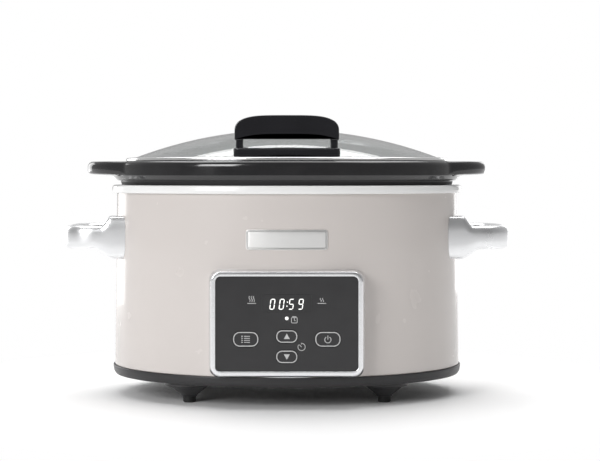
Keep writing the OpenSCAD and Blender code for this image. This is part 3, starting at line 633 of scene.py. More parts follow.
def shrink(outline, inset):
    """An outline moved inwards by inset, corner by corner."""
    if not inset:
        return [tuple(p[:2]) for p in outline]
    moved = []
    area = sum(a[0] * b[1] - b[0] * a[1] for a, b in zip(outline, [*outline[1:], outline[0]]))
    side = 1 if area > 0 else -1
    for i, p in enumerate(outline):
        a, b = Vector(outline[i - 1][:2]), Vector(outline[(i + 1) % len(outline)][:2])
        here = Vector(p[:2])
        d1, d2 = (here - a).normalized(), (b - here).normalized()
        along = (d1 + d2).normalized()
        reach = inset / max(0.3, sqrt(max(0.0, (1 + d1.dot(d2)) / 2)))
        moved.append((here.x - side * along.y * reach, here.y + side * along.x * reach))
    return moved


print("drawing tools ready")

# %% [markdown]
# ## The oval turn, in Geometry Nodes
#
# The wrap, the ring, the base, the crock, the glass and its band are all one
# idea: a profile carried round an oval. A lathe can't do it, because the plan
# isn't round, so a node tree does. The profile is a line of points; each
# stores its reach, its level and how strongly it takes part in the end lugs
# and in the ledge at the back. The tree sweeps that line round a circle, then
# sets every point by rule:
#
# - the lugs are the part of a longer, slimmer oval that stands out past the rim
# - the ledge is the part of a rectangle that stands out past the rim at the back
#
# Change `Lug length` or `Ratio` and the whole body follows.

# %% The tree for an oval turn
def socket_in(tree, name, kind, value):
    socket = tree.interface.new_socket(name=name, in_out="INPUT", socket_type=kind)
    if value is not None:
        socket.default_value = value
    return socket


def new_tree(name, sockets):
    """An empty geometry tree with its named inputs. Gives the Tree and a wire for each input."""
    tree = bpy.data.node_groups.new(name, "GeometryNodeTree")
    tree.interface.new_socket(name="Geometry", in_out="INPUT", socket_type="NodeSocketGeometry")
    for label, kind, value in sockets:
        socket_in(tree, label, kind, value)
    tree.interface.new_socket(name="Geometry", in_out="OUTPUT", socket_type="NodeSocketGeometry")
    t = Tree(tree)
    entry = tree.nodes.new("NodeGroupInput")
    wires = {socket.name: Wire(t, socket) for socket in entry.outputs if socket.name}
    return t, wires


def close_tree(t, geometry, material):
    """Ends a tree: instances become real, the material goes on, and the result goes out."""
    real = t.node("GeometryNodeRealizeInstances", None, {"Geometry": geometry})
    painted = t.node("GeometryNodeSetMaterial", None, {"Geometry": real, "Material": material})
    out = t.tree.nodes.new("NodeGroupOutput")
    t.feed(out.inputs[0], painted)
    return t.tree


def named(t, name, kind="FLOAT"):
    return t.node("GeometryNodeInputNamedAttribute", {"data_type": kind}, {"Name": name}, "Attribute")


def oval_turn():
    t, given = new_tree("oval_turn", [
        ("Ratio", "NodeSocketFloat", 0.75), ("Steps", "NodeSocketInt", 360), ("Rim", "NodeSocketFloat", 0.15),
        ("Lug length", "NodeSocketFloat", 0.1728), ("Lug depth", "NodeSocketFloat", 0.075),
        ("Lug blend", "NodeSocketFloat", 0.002), ("Ledge width", "NodeSocketFloat", 0.126),
        ("Ledge reach", "NodeSocketFloat", 0.116), ("Ledge blend", "NodeSocketFloat", 0.006),
        ("Finish", "NodeSocketMaterial", None),
    ])
    ratio, rim = given["Ratio"], given["Rim"]
    profile = t.node("GeometryNodeMeshToCurve", None, {"Mesh": given["Geometry"]})
    ring = t.node("GeometryNodeCurvePrimitiveCircle", None, {"Resolution": given["Steps"], "Radius": 1.0})
    turn = t.node("GeometryNodeInputIndex") * (2 * pi) / given["Steps"]
    store = {"Geometry": ring, "Name": "turn", "Value": turn}
    ring = t.node("GeometryNodeStoreNamedAttribute", {"data_type": "FLOAT", "domain": "POINT"}, store)
    swept = t.node("GeometryNodeCurveToMesh", None, {"Curve": ring, "Profile Curve": profile})

    turn = named(t, "turn")
    c, s = turn.math("COSINE"), turn.math("SINE")
    lug_oval = 1.0 / ((c / given["Lug length"]) ** 2 + (s * ratio / given["Lug depth"]) ** 2).math("SQRT")
    lug = lug_oval.math("SMOOTH_MAX", rim, given["Lug blend"]) - rim
    back = given["Ledge reach"] / (ratio * s.math("MAXIMUM", 0.01))
    side = given["Ledge width"] * 0.5 / c.math("ABSOLUTE").math("MAXIMUM", 0.01)
    ledge = (back.math("SMOOTH_MIN", side, given["Ledge blend"]) - rim).math("MAXIMUM", 0.0) * (s > 0.0)
    reach = named(t, "reach") + named(t, "lug") * lug + named(t, "ledge") * ledge
    place = t.node("ShaderNodeCombineXYZ", None, {0: reach * c, 1: reach * s * ratio, 2: named(t, "level")})
    placed = t.node("GeometryNodeSetPosition", None, {"Geometry": swept, "Position": place})
    joined = t.node("GeometryNodeMergeByDistance", None, {"Geometry": placed, "Distance": 0.002 * mm})
    return close_tree(t, joined, given["Finish"])


def set_inputs(modifier, tree, values):
    """Sets a modifier's inputs by their names in the tree."""
    keys = {item.name: item.identifier for item in tree.interface.items_tree if item.in_out == "INPUT"}
    for name, value in values.items():
        modifier[keys[name]] = value


def grown(name, mesh, tree, values):
    """Runs a tree on a mesh and gives the result as a new, finished mesh."""
    seed = bpy.data.objects.new(name, mesh)
    scene.collection.objects.link(seed)
    modifier = seed.modifiers.new("grow", "NODES")
    modifier.node_group = tree
    set_inputs(modifier, tree, values)
    result = bpy.data.meshes.new_from_object(seed.evaluated_get(bpy.context.evaluated_depsgraph_get()))
    bpy.data.objects.remove(seed)
    tidy_mesh(result, 0.002 * mm)
    result.name = name
    return result


turning = oval_turn()
steps_round = 400


def oval_mesh(name, slot, profile, closed):
    """A mesh from a profile whose points are (reach, level, lug, ledge), in millimetres."""
    rows = [(*p, 0, 0)[:4] for p in profile]
    edges = [(i, i + 1) for i in range(len(rows) - 1)]
    if closed:
        edges.append((len(rows) - 1, 0))
    line = bpy.data.meshes.new(name + "_profile")
    line.from_pydata([(r * mm, i * mm, z * mm) for i, (r, z, *_) in enumerate(rows)], edges, [])
    columns = {"reach": [p[0] * mm for p in rows], "level": [p[1] * mm for p in rows],
               "lug": [float(p[2]) for p in rows], "ledge": [float(p[3]) for p in rows]}
    for label, values in columns.items():
        line.attributes.new(label, "FLOAT", "POINT").data.foreach_set("value", values)
    values = {"Ratio": ratio, "Steps": steps_round, "Rim": rim_half, "Lug length": -crock_low.x,
              "Finish": finishes[slot]}
    return grown(name, line, turning, values)


def oval_piece(name, slot, profile, closed, body, *nodes):
    piece = bpy.data.objects.new(name, oval_mesh(name, slot, profile, closed))
    return enter(piece, slot, body, *nodes)


# %% [markdown]
# ## Levels
#
# These are the levels and half widths of the ovals in millimetres, read from
# the frame so that the looks can't drift from the CAD.

# %% Levels
Z_WRAP0, Z_WRAP1 = wrap_low.z / mm, wrap_high.z / mm
Z_RING = ring_high.z / mm
Z_RIM0, Z_RIM = Z_RING + 3.8, crock_high.z / mm
FOOT_A, TOP_A = wrap_foot / mm, wrap_top / mm
RING_A, RIM_A = ring_high.x / mm, rim_half / mm
BAND_A, GLASS_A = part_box("lid_band")[1].x / mm, glass_high.x / mm
BASE_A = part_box("base_pan")[1].x / mm
Z_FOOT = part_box("base_pan")[0].z / mm
NECK_A = TOP_A - 9.5
CAVITY_A, CROCK_FOOT_A = NECK_A - 8, NECK_A - 20.5
Z_CROCK, Z_APEX = crock_low.z / mm, glass_high.z / mm
Z_GLASS = Z_RIM + 1.3
RISE = Z_APEX - Z_GLASS
DOME_R = (GLASS_A ** 2 + RISE ** 2) / (2 * RISE)
Z_DOME = Z_APEX - DOME_R
print("levels", Z_WRAP0, Z_WRAP1, Z_RING, Z_RIM, "dome radius", round(DOME_R, 1))


def dome(x, y, over=0.0):
    """Level of the lid's outer face over a place in plan, in millimetres."""
    return Z_DOME + sqrt((DOME_R + over) ** 2 - x * x - (y / ratio) ** 2)


# %% [markdown]
# ## Housing
#
# The wrap is a strip of sheet. Its lower edge is rolled inwards, and its upper
# edge sits under the white ring. The front has an opening for the electronics,
# which is cut after the turn: the mesh is split along the sides of the opening,
# the faces between are taken away and the raw edges are joined.

# %% Housing, ring and base
SHEET = 1
OPENING_HALF_W, OPENING_HALF_H = 53 * mm, 34.8 * mm
wrap_line = fillet([
    (FOOT_A - SHEET, Z_WRAP0, 0.35), (FOOT_A, Z_WRAP0, 0.9), (TOP_A, Z_WRAP1, 0.45),
    (TOP_A - SHEET, Z_WRAP1, 0.45), (FOOT_A - SHEET - 0.02, Z_WRAP0 + 8, 0),
])
# More rows up the wall, so that the opening is cut from small faces
wall_rows = [(FOOT_A + (TOP_A - FOOT_A) * k / 12, Z_WRAP0 + (Z_WRAP1 - Z_WRAP0) * k / 12) for k in range(1, 12)]
split = next(i for i, p in enumerate(wrap_line) if p[1] > Z_WRAP0 + 50)
wrap_mesh = oval_mesh("wrap", "housing_paint", wrap_line[:split] + wall_rows + wrap_line[split:], True)


def cut_opening(mesh, half_w, z_low, z_high):
    """Takes away the front of a two-walled shell inside a rectangle, and joins the two cut edges."""
    work = bmesh.new()
    work.from_mesh(mesh)
    for place, normal in [((-half_w, 0, 0), (1, 0, 0)), ((half_w, 0, 0), (1, 0, 0)),
                          ((0, 0, z_low), (0, 0, 1)), ((0, 0, z_high), (0, 0, 1))]:
        everything = work.verts[:] + work.edges[:] + work.faces[:]
        bmesh.ops.bisect_plane(work, geom=everything, plane_co=place, plane_no=normal, dist=1e-7)
    inside = [f for f in work.faces if (m := f.calc_center_median()).y < 0
              and abs(m.x) < half_w and z_low < m.z < z_high]
    bmesh.ops.delete(work, geom=inside, context="FACES")
    rim = [e for e in work.edges if len(e.link_faces) == 1]
    bmesh.ops.bridge_loops(work, edges=rim)
    work.to_mesh(mesh)
    work.free()
    tidy_mesh(mesh)


z_mid = (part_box("panel_fascia")[0].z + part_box("panel_fascia")[1].z) / 2
cut_opening(wrap_mesh, OPENING_HALF_W, z_mid - OPENING_HALF_H, z_mid + OPENING_HALF_H)
enter(bpy.data.objects.new("wrap", wrap_mesh), "housing_paint", "base", "housing_wrap")

oval_piece("ring_gloss", "rim_white", fillet([
    (NECK_A + 1, Z_WRAP1 + 1, 0.3), (TOP_A + 0.1, Z_WRAP1 + 1, 0), (TOP_A + 0.1, Z_WRAP1 - 0.8, 0.3),
    (RING_A - 0.6, Z_WRAP1 - 0.8, 1.2), (RING_A, Z_WRAP1 + 1.6, 2), (RING_A - 0.5, Z_RING, 2.4),
    (NECK_A + 1, Z_RING, 0.8),
], step=9), True, "base", "rim_ring")

oval_piece("base_shell", "black_plastic", fillet([
    (0, Z_FOOT, 0), (BASE_A - 11, Z_FOOT, 0.6), (BASE_A - 10.4, Z_FOOT + 0.6, 0.3),
    (BASE_A - 5, Z_FOOT + 0.6, 0.3), (BASE_A - 4.4, Z_FOOT, 0.4), (BASE_A - 2.2, Z_FOOT, 1.2),
    (BASE_A - 0.6, Z_FOOT + 2.6, 2), (BASE_A, Z_FOOT + 6, 1.5), (BASE_A, Z_WRAP0, 0.8),
    (FOOT_A - 1.2, Z_WRAP0, 0.2), (FOOT_A - 1.4, Z_WRAP0 + 4, 0.3), (FOOT_A - 4, Z_WRAP0 + 4, 0.3),
    (FOOT_A - 4, Z_FOOT + 3, 1), (0, Z_FOOT + 3, 0),
], closed=False), False, "base", "base_pan")
print("housing made", len(wrap_mesh.polygons), "faces in the wrap")

# %% [markdown]
# ## Crock, glass and band
#
# The crock's rim is thick and soft-edged, as poured clay has to be. The lugs
# start a little over the foot of the rim and curve out of it. The glass is a
# shallow dome of even thickness, and a band of rolled steel is folded over its
# edge.

# %% Crock and lid
rebate = Z_RIM - 4.2
lug_line = fillet([
    (0, Z_CROCK, 0, 0, 0), (CROCK_FOOT_A, Z_CROCK, 16, 0, 0), (NECK_A, Z_RING + 0.3, 2.5, 0, 0),
    (RIM_A - 7, Z_RING + 0.3, 0, 0, 0), (RIM_A - 6, Z_RIM0 + 0.2, 0.8, 0, 0), (RIM_A - 3.4, Z_RIM0, 1.5, 0, 1),
    (RIM_A - 0.6, Z_RIM0 + 3.6, 2.5, 0.02, 1), (RIM_A, Z_RIM0 + 4.3, 0, 0.1, 1),
    (RIM_A, Z_RIM0 + 4.6, 0, 0.35, 1),
    (RIM_A, Z_RIM0 + 5.0, 0, 0.7, 1), (RIM_A, Z_RIM0 + 5.5, 0, 0.9, 1), (RIM_A, Z_RIM0 + 6.6, 0, 0.97, 1),
    (RIM_A, Z_RIM0 + 8.6, 0, 1, 1), (RIM_A, Z_RIM, 4.6, 1, 1), (RIM_A - 7, Z_RIM, 0, 0, 0),
    (GLASS_A + 2.3, Z_RIM, 1.2, 0, 0), (GLASS_A + 2.3, rebate, 0.8, 0, 0), (CAVITY_A, rebate, 1.4, 0, 0),
    (CROCK_FOOT_A - 8, Z_CROCK + 9, 14, 0, 0), (0, Z_CROCK + 9, 0, 0, 0),
], closed=False, step=9)
oval_piece("crock_glazed", "stoneware", lug_line, False, "crock", "crock")


def dome_line(radius, reach, count):
    """Points of the dome's section from the middle outwards, in millimetres."""
    limit = acos(sqrt(1 - (reach / radius) ** 2))
    turns = [limit * k / count for k in range(count + 1)]
    return [(radius * sin(t), Z_DOME + radius * cos(t)) for t in turns]


GLASS_T, DOME_ROWS = 3.6, 28
outer = dome_line(DOME_R, GLASS_A - 0.6, DOME_ROWS)
inner = dome_line(DOME_R - GLASS_T, GLASS_A - 0.9, DOME_ROWS)
edge = [(GLASS_A, Z_GLASS - 0.8), (GLASS_A, Z_GLASS - 2.8)]
oval_piece("dome_glass", "lid_glass", outer + edge + inner[::-1], False, "lid", "lid_glass")

oval_piece("rolled_band", "lid_steel", fillet([
    (GLASS_A - 5, Z_GLASS - 5, 0.3), (GLASS_A + 1, Z_GLASS - 5, 0.6), (GLASS_A + 1, Z_RIM + 0.3, 0.3),
    (BAND_A, Z_RIM + 0.3, 0.6), (BAND_A, Z_RIM + 2, 0.7), (BAND_A - 1, Z_RIM + 3, 1),
    (GLASS_A - 3, Z_RIM + 3.6, 0.35),
    (GLASS_A - 3, Z_RIM + 2.6, 0.3), (GLASS_A + 0.1, Z_GLASS + 0.1, 0), (GLASS_A + 0.1, Z_GLASS - 4.2, 0),
    (GLASS_A - 5, Z_GLASS - 4.2, 0.3),
]), True, "lid", "lid_band")
print("crock and lid made")

# %% [markdown]
# ## Side handles
#
# A side handle is one casting: a loop seen from above whose section is a soft
# rectangle. It is swept along its middle line, with a section at every step,
# and it swells where it meets the housing: steeply above, and in a long curve
# below. The last section lies on the wall itself, so the joint follows the
# oval.

# %% Two swept handles
Z_GRIP = (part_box("right_handle")[0].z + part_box("right_handle")[1].z) / 2 / mm
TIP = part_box("right_handle")[1].x / mm
LEG_Y, LEG_HALF, BAR_HALF, BEND = 36, 6.5, 8, 17
BAR_X = TIP - BAR_HALF
GRIP_HALF_H, ROOT_MORE, SQUARENESS = 10, 8.3, 0.62


def ease(value, low, high):
    t = min(1, max(0, (value - low) / (high - low)))
    return t * t * (3 - 2 * t)


def wall_x(y, z, out=0.1):
    half = wrap_half(z * mm) / mm + out
    return sqrt(half * half - (y / ratio) ** 2)


def handle_path():
    """(x, y, direction, half width) along the middle of the loop, from one root to the other."""
    root = BAR_X - BEND - 19
    half_loop = [(root + 19 * (k / 10), -LEG_Y, 0.0, LEG_HALF) for k in range(11)]
    for k in range(1, 10):
        t = pi / 2 * k / 9
        wider = (BAR_HALF - LEG_HALF) * ease(t, 0, pi / 2)
        half_loop.append((BAR_X - BEND + BEND * sin(t), -LEG_Y + BEND - BEND * cos(t), t, LEG_HALF + wider))
    straight = LEG_Y - BEND
    half_loop += [(BAR_X, -straight + straight * k / 3, pi / 2, BAR_HALF) for k in range(1, 4)]
    return half_loop + [(x, -y, pi - turn, half) for x, y, turn, half in half_loop[-2::-1]]


def grip_section(x, y, turn, half, count=44):
    """A soft rectangle across the path. Its height grows towards the housing."""
    up = GRIP_HALF_H + ROOT_MORE * (1 - ease(x, 149, 157))
    down = GRIP_HALF_H + ROOT_MORE * (1 - ease(x, 147, 164))
    points = []
    for i in range(count):
        c, s = cos(2 * pi * i / count), sin(2 * pi * i / count)
        across = half * abs(c) ** SQUARENESS * (1 if c > 0 else -1)
        rise = (up if s > 0 else -down) * abs(s) ** SQUARENESS
        points.append((x + across * sin(turn), y - across * cos(turn), Z_GRIP + rise))
    return points


def side_handle(name, side, node):
    loops = [grip_section(*place) for place in handle_path()]
    first, last = ([(wall_x(y, z), y, z) for _, y, z in loops[k]] for k in (0, -1))
    loops = [first, *loops, last]
    loops = [[(side * x * mm, y * mm, z * mm) for x, y, z in loop] for loop in loops]
    return Piece().paint("handle_chrome").skin(loops).make(name, "base", node)


side_handle("grip_right", 1, "right_handle")
side_handle("grip_left", -1, "left_handle")
print("side handles at level", Z_GRIP)


# %% [markdown]
# ## The handle on the lid
#
# A deep bar stands on a thinner portal, set back from the bar's face. Both are
# outlines seen from the front, given depth and a soft edge. Under them lies a
# pad in two steps, which is deeper under each leg and follows the dome.

# %% Lid handle and pad
grip_low, grip_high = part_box("lid_handle")
GRIP_FRONT, GRIP_BACK, GRIP_TOP = grip_low.y / mm, grip_high.y / mm, grip_high.z / mm
GRIP_HALF = grip_high.x / mm


def arch(half, foot, rise, power, count=40):
    """The upper edge of an opening, from right to left: flat in the middle and bent down at the ends."""
    return [(half * c, foot + rise * (1 - abs(c) ** power) ** (1 / 2.2))
            for c in (cos(pi * k / count) for k in range(count + 1))]


def scaled(points):
    return [tuple(v * mm for v in p) for p in points]


def crown(half, top, depth, count=44):
    """The upper edge of the bar, from right to left: nearly flat, with wide soft corners."""
    line = []
    for k in range(count + 1):
        c, d = cos(pi * k / count), sin(pi * k / count)
        line.append((half * abs(c) ** 0.48 * (1 if c > 0 else -1), top - depth + depth * d ** 0.87))
    return line


bar_foot = GRIP_TOP - 19.8
bar_line = [(GRIP_HALF - 0.3, bar_foot - 0.4), (GRIP_HALF, bar_foot), *crown(GRIP_HALF, GRIP_TOP, 12.5)]
bar_line += [(-GRIP_HALF, bar_foot), (-GRIP_HALF + 0.3, bar_foot - 0.4)]
bar_line += arch(GRIP_HALF - 6, GRIP_TOP - 21, 4.7, 3.4)[::-1]
PORTAL_FOOT, OPENING_TOP, OPENING_HALF = 208.7, GRIP_TOP - 15.5, 35.5
portal_out = GRIP_HALF - 1
portal_line = [(portal_out, PORTAL_FOOT), *crown(portal_out, GRIP_TOP - 0.8, 12), (-portal_out, PORTAL_FOOT)]
portal_line += fillet([(-OPENING_HALF, PORTAL_FOOT, 0), (-OPENING_HALF, OPENING_TOP, 6),
                       (OPENING_HALF, OPENING_TOP, 6), (OPENING_HALF, PORTAL_FOOT, 0)], closed=False)
grip = Piece().paint("handle_black")
grip.slab(scaled(bar_line), GRIP_FRONT * mm, (GRIP_FRONT + 9.5) * mm, 1.0 * mm, 5)
grip.slab(scaled(portal_line), (GRIP_FRONT + 2.4) * mm, (GRIP_BACK - 3.5) * mm, 1.0 * mm, 4)
grip.make("lid_grip", "lid", "lid_handle")


def pad_block(piece, w, d, r, x, y, level, soft=0.8):
    """A block on the dome with a level top: where the dome is higher, the top follows it as a thin lip."""
    rows = [(0, None, 0.1), (0, -soft, 0.5)]
    rows += [(soft * (1 - cos(pi / 2 * k / 4)), soft * sin(pi / 2 * k / 4) - soft, 0.5) for k in range(1, 5)]
    rows += [(d * share, 0, 0.5) for share in (0.16, 0.3, 0.42, 0.49)]
    loops = []
    for inset, drop, lip in rows:
        lowest = 0 if drop is None else level + drop
        outline = round_rect(w - 2 * inset, d - 2 * inset, max(0.1, r - inset), along=14, u0=x, v0=y)
        loops.append(scaled([(u, v, max(dome(u, v) + lip, lowest)) for u, v in outline]))
    under = round_rect(w - d * 0.98, d * 0.02, d * 0.005, along=14, u0=x, v0=y)
    return piece.skin([scaled([(u, v, dome(u, v) + 0.1) for u, v in under]), *loops])


pad_low, pad_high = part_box("lid_handle_pad")
PAD_FRONT, PAD_W = pad_low.y / mm, (pad_high.x - pad_low.x) / mm
pad = Piece().paint("handle_black")
pad_block(pad, PAD_W, 12.5, 5, 0, PAD_FRONT + 6.25, 208.9)
pad_block(pad, PAD_W - 1.6, 11.5, 4.4, 0, PAD_FRONT + 6.55, 209.5, 0.4)
for side in (-1, 1):
    pad_block(pad, 12, 18, 4, side * (PAD_W / 2 - 6.2), PAD_FRONT + 9.2, 209.3)
pad.make("lid_grip_pad", "lid", "lid_handle_pad")
print("lid handle top at", round(GRIP_TOP, 1))

# %% [markdown]
# ## Hinge
#
# Three ears stand on a strip whose two posts drop into the crock. The lid's
# arm has two knuckles between the ears. Ear and knuckle share one outline, a
# round that runs into a foot, and the pin lies through all five.

# %% Hinge bracket, pin and arm
pin_low, pin_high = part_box("hinge_pin")
PIN_Y, PIN_Z = (pin_low.y + pin_high.y) / 2 / mm, (pin_low.z + pin_high.z) / 2 / mm
HINGE_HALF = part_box("hinge_bracket")[1].x / mm
KNUCKLE = 4.8


def side_slab(piece, outline, x0, x1, bevel):
    """An outline of (y, z) given width along X, with soft ends."""
    rows = [(bevel * (1 - sin(pi / 2 * k / 3)), x0 + bevel * (1 - cos(pi / 2 * k / 3))) for k in range(4)]
    rows += [(inset, x0 + x1 - x) for inset, x in reversed(rows)]
    return piece.skin([scaled([(x, y, z) for y, z in shrink(outline, inset)]) for inset, x in rows])


def knuckle_line(foot_front, foot_back, foot_z):
    """A round about the pin that runs down into a foot."""
    turn = [(PIN_Y + KNUCKLE * cos(t), PIN_Z + KNUCKLE * sin(t)) for t in (pi * k / 18 for k in range(19))]
    return [(foot_back, foot_z), *turn, (foot_front, foot_z)]


ears = [(-HINGE_HALF, -HINGE_HALF + 13), (-6.5, 6.5), (HINGE_HALF - 13, HINGE_HALF)]
arms = [(ears[0][1] + 0.4, ears[1][0] - 0.4), (ears[1][1] + 0.4, ears[2][0] - 0.4)]
z_strip = Z_RIM + 0.3
bracket = Piece().paint("handle_black")
for x0, x1 in ears:
    side_slab(bracket, knuckle_line(PIN_Y - KNUCKLE, PIN_Y + KNUCKLE, z_strip + 1), x0, x1, 0.7)
strip = round_rect(2 * HINGE_HALF, 2 * KNUCKLE, 2.5, along=2, v0=PIN_Y)
levels = [(0.5, z_strip), (0, z_strip + 0.5), (0, z_strip + 2.4), (0.2, z_strip + 2.85), (0.6, z_strip + 3)]
bracket.skin([scaled([(u, v, z) for u, v in shrink(strip, inset)]) for inset, z in levels])
for side in (-1, 1):
    post = [(0, Z_RIM - 10), (1.9, Z_RIM - 10), (2.5, Z_RIM - 9), (2.5, z_strip + 1), (0, z_strip + 1)]
    bracket.turned(scaled(post), side * 47 * mm, PIN_Y * mm)
bracket.make("hinge_ears", "hinge", "hinge_bracket")

x_pin0, x_pin1 = pin_low.x / mm, pin_high.x / mm
pin_line = fillet([(0, x_pin0, 0), (2, x_pin0, 0.6), (2, x_pin1, 0.6), (0, x_pin1, 0)], closed=False)
Piece().paint("screw_steel").turned(
    scaled(pin_line), PIN_Y * mm, PIN_Z * mm, axis="X").make("hinge_rod", "hinge", "hinge_pin")

arm_low, arm_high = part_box("lid_hinge_arm")
ARM_FRONT, ARM_TOP, ARM_HALF = arm_low.y / mm, arm_high.z / mm, arms[1][1]
ARM_BACK = PIN_Y - KNUCKLE - 0.6
arm = Piece().paint("handle_black")
arm_line = [(ARM_BACK - 2, ARM_TOP - 0.1), (ARM_BACK - 2, PIN_Z - 1.9), (PIN_Y, PIN_Z - 1.9)]
arm_line += [(PIN_Y + KNUCKLE * sin(t), PIN_Z - KNUCKLE * cos(t)) for t in (pi * k / 18 for k in range(1, 19))]
for x0, x1 in arms:
    side_slab(arm, arm_line, x0, x1, 0.6)
ARM_SOFT = 2.2
rows = [(0.0, None)]
rows += [(ARM_SOFT * (1 - cos(t)), ARM_TOP - ARM_SOFT * (1 - sin(t)))
         for t in (pi / 2 * k / 5 for k in range(6))]
loops = []
for inset, z in rows:
    outline = round_rect(2 * (ARM_HALF - inset), ARM_BACK - ARM_FRONT - 2 * inset, 4 - inset * 0.8, along=12,
                         v0=(ARM_BACK + ARM_FRONT) / 2)
    loops.append(scaled([(u, v, max(dome(u, v) + 0.1, Z_RIM + 3.4) if z is None else z) for u, v in outline]))
arm.skin(loops)
arm.make("hinge_block", "lid", "lid_hinge_arm")
print("hinge pin at", round(PIN_Y, 1), round(PIN_Z, 1))

# %% [markdown]
# ## Control panel
#
# The bezel is a skin over rounded rectangles. Its front is narrower than its
# root, so its sides slope, and its last loop lies on the housing. The fascia
# and the display window are flat plates that the CAD already draws exactly, so
# they only get their finishes.

# %% Bezel
bezel_low, bezel_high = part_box("panel_bezel")
BEZEL_W, BEZEL_H = (bezel_high.x - bezel_low.x) / mm, (bezel_high.z - bezel_low.z) / mm
BEZEL_Z, FRONT = (bezel_low.z + bezel_high.z) / 2 / mm, bezel_low.y / mm
# How much smaller than the bezel each loop is, its corner radius and its distance behind the front
bezel_rows = [
    (11, 4, None), (11, 4, 1.0), (10.9, 4.05, 0.6), (10.5, 4.2, 0.2), (9.8, 4.5, 0), (5, 7.6, 0),
    (3.8, 7.9, 0.3), (2.9, 8.2, 0.9), (0.5, 8.9, 4.4), (0, 9, 5.4), (0, 9, None),
]
loops = []
for less, r, y in bezel_rows:
    outline = round_rect(BEZEL_W - less, BEZEL_H - less, r, along=20, round_steps=10, v0=BEZEL_Z)
    loops.append([(u * mm, -wrap_front(u * mm, v * mm, 0.1 * mm) if y is None else (FRONT + y) * mm, v * mm)
                  for u, v in outline])
Piece().paint("bezel_chrome").skin(loops, cyclic=True).make("bezel_frame", "base", "panel_bezel")

# %% [markdown]
# The buttons have a printed ring and a sign each. Signs are strokes: a line is
# offset to both sides by half its width and given a tenth of a millimetre of
# depth. The digits are seven segments that lean by eight degrees, as on any
# clock.

# %% Strokes and digits
PRINT_DEEP = 0.1


def stroke(piece, points, width, y, closed=False):
    """A printed line through points, seen from the front."""
    left, right = [], []
    last = len(points) - 1
    for i, (u, v) in enumerate(points):
        a = Vector(points[i - 1] if i or closed else points[i])
        b = Vector(points[(i + 1) % len(points)] if i < last or closed else points[i])
        before, after = Vector((u, v)) - a, b - Vector((u, v))
        along = before.normalized() + after.normalized()
        along.normalize()
        solid = before.normalized() if before.length else after.normalized()
        reach = width / 2 / max(0.5, along.dot(solid))
        left.append((u - along.y * reach, v + along.x * reach))
        right.append((u + along.y * reach, v - along.x * reach))
    if closed:
        return piece.hoop(scaled(left), scaled(right), y * mm, (y + PRINT_DEEP) * mm)
    return piece.slab(scaled(left + right[::-1]), y * mm, (y + PRINT_DEEP) * mm)


def wave(u, v, height, sway=0.5, count=12):
    return [(u + sway * sin(2 * pi * k / count), v + height * k / count) for k in range(count + 1)]


SEGMENTS = {"0": "abcdef", "5": "acdfg", "9": "abcdfg"}


def digit(piece, sign, u0, v0, w, h, y, lean=tan(radians(8)), thick=0.75):
    """A seven-segment digit with its lower left corner at (u0, v0)."""
    gap, half = 0.14, h / 2
    ends = {"a": ((0, h), (w, h)), "b": ((w, h), (w, half)), "c": ((w, half), (w, 0)), "d": ((0, 0), (w, 0)),
            "e": ((0, half), (0, 0)), "f": ((0, h), (0, half)), "g": ((0, half), (w, half))}
    for name in SEGMENTS[sign]:
        (ua, va), (ub, vb) = ends[name]
        along = Vector((ub - ua, vb - va)).normalized()
        across = Vector((-along.y, along.x)) * thick / 2
        a, b = Vector((ua, va)) + along * gap, Vector((ub, vb)) - along * gap
        tip = along * thick / 2
        corners = [a, a + tip + across, b - tip + across, b, b - tip - across, a + tip - across]
        slanted = [(u0 + p.x + lean * p.y, v0 + p.y) for p in corners]
        piece.slab(scaled(slanted), y * mm, (y + PRINT_DEEP) * mm)


def clock_face(piece, u, v, r, y):
    """A dial with a gap at its top left, a hand and a tick."""
    rim = [(u + r * cos(t), v + r * sin(t)) for t in (radians(100 - 320 * k / 30) for k in range(31))]
    stroke(piece, rim, 0.5, y)
    stroke(piece, [(u, v), (u - 0.62 * r, v + 0.62 * r)], 0.5, y)
    stroke(piece, [(u, v + r + 0.5), (u, v + r - 0.9)], 0.5, y)


# %% Buttons
KEY_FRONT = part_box("button_menu")[0].y / mm
FASCIA_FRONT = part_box("panel_fascia")[0].y / mm


def key(name, node, sign):
    low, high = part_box(node)
    w, h = (high.x - low.x) / mm - 2, (high.z - low.z) / mm - 2
    u, v = (low.x + high.x) / 2 / mm, (low.z + high.z) / 2 / mm
    r = min(5.6, h / 2 - 0.3)
    cap = Piece().paint("fascia_black")
    face = KEY_FRONT + PRINT_DEEP / 2
    cap.slab(scaled(round_rect(w, h, r, u0=u, v0=v)), face * mm, (high.y / mm - 0.6) * mm, 0.35 * mm)
    flange = round_rect(w + 2, h + 2, r + 1, u0=u, v0=v)
    cap.slab(scaled(flange), (high.y / mm - 1) * mm, high.y, 0.15 * mm)
    cap.paint("print_grey")
    ring = [scaled(round_rect(w - d, h - d, r - d / 2, u0=u, v0=v)) for d in (0.8, 2.3)]
    cap.hoop(*ring, KEY_FRONT * mm, (KEY_FRONT + PRINT_DEEP) * mm)
    sign(cap, u, v)
    return cap.make(name, node, node)


def arrow(up):
    def draw(piece, u, v):
        corners = [(u - 2.4, v - 2 * up), (u + 2.4, v - 2 * up), (u, v + 2.3 * up)]
        piece.slab(scaled(corners), KEY_FRONT * mm, (KEY_FRONT + PRINT_DEEP) * mm)
    return draw


def list_sign(piece, u, v):
    for row in (-2.4, -0.8, 0.8, 2.4):
        stroke(piece, [(u - 1.4, v + row), (u + 3.4, v + row)], 0.5, KEY_FRONT)
        stroke(piece, [(u - 3.4, v + row), (u - 2.4, v + row)], 0.8, KEY_FRONT)


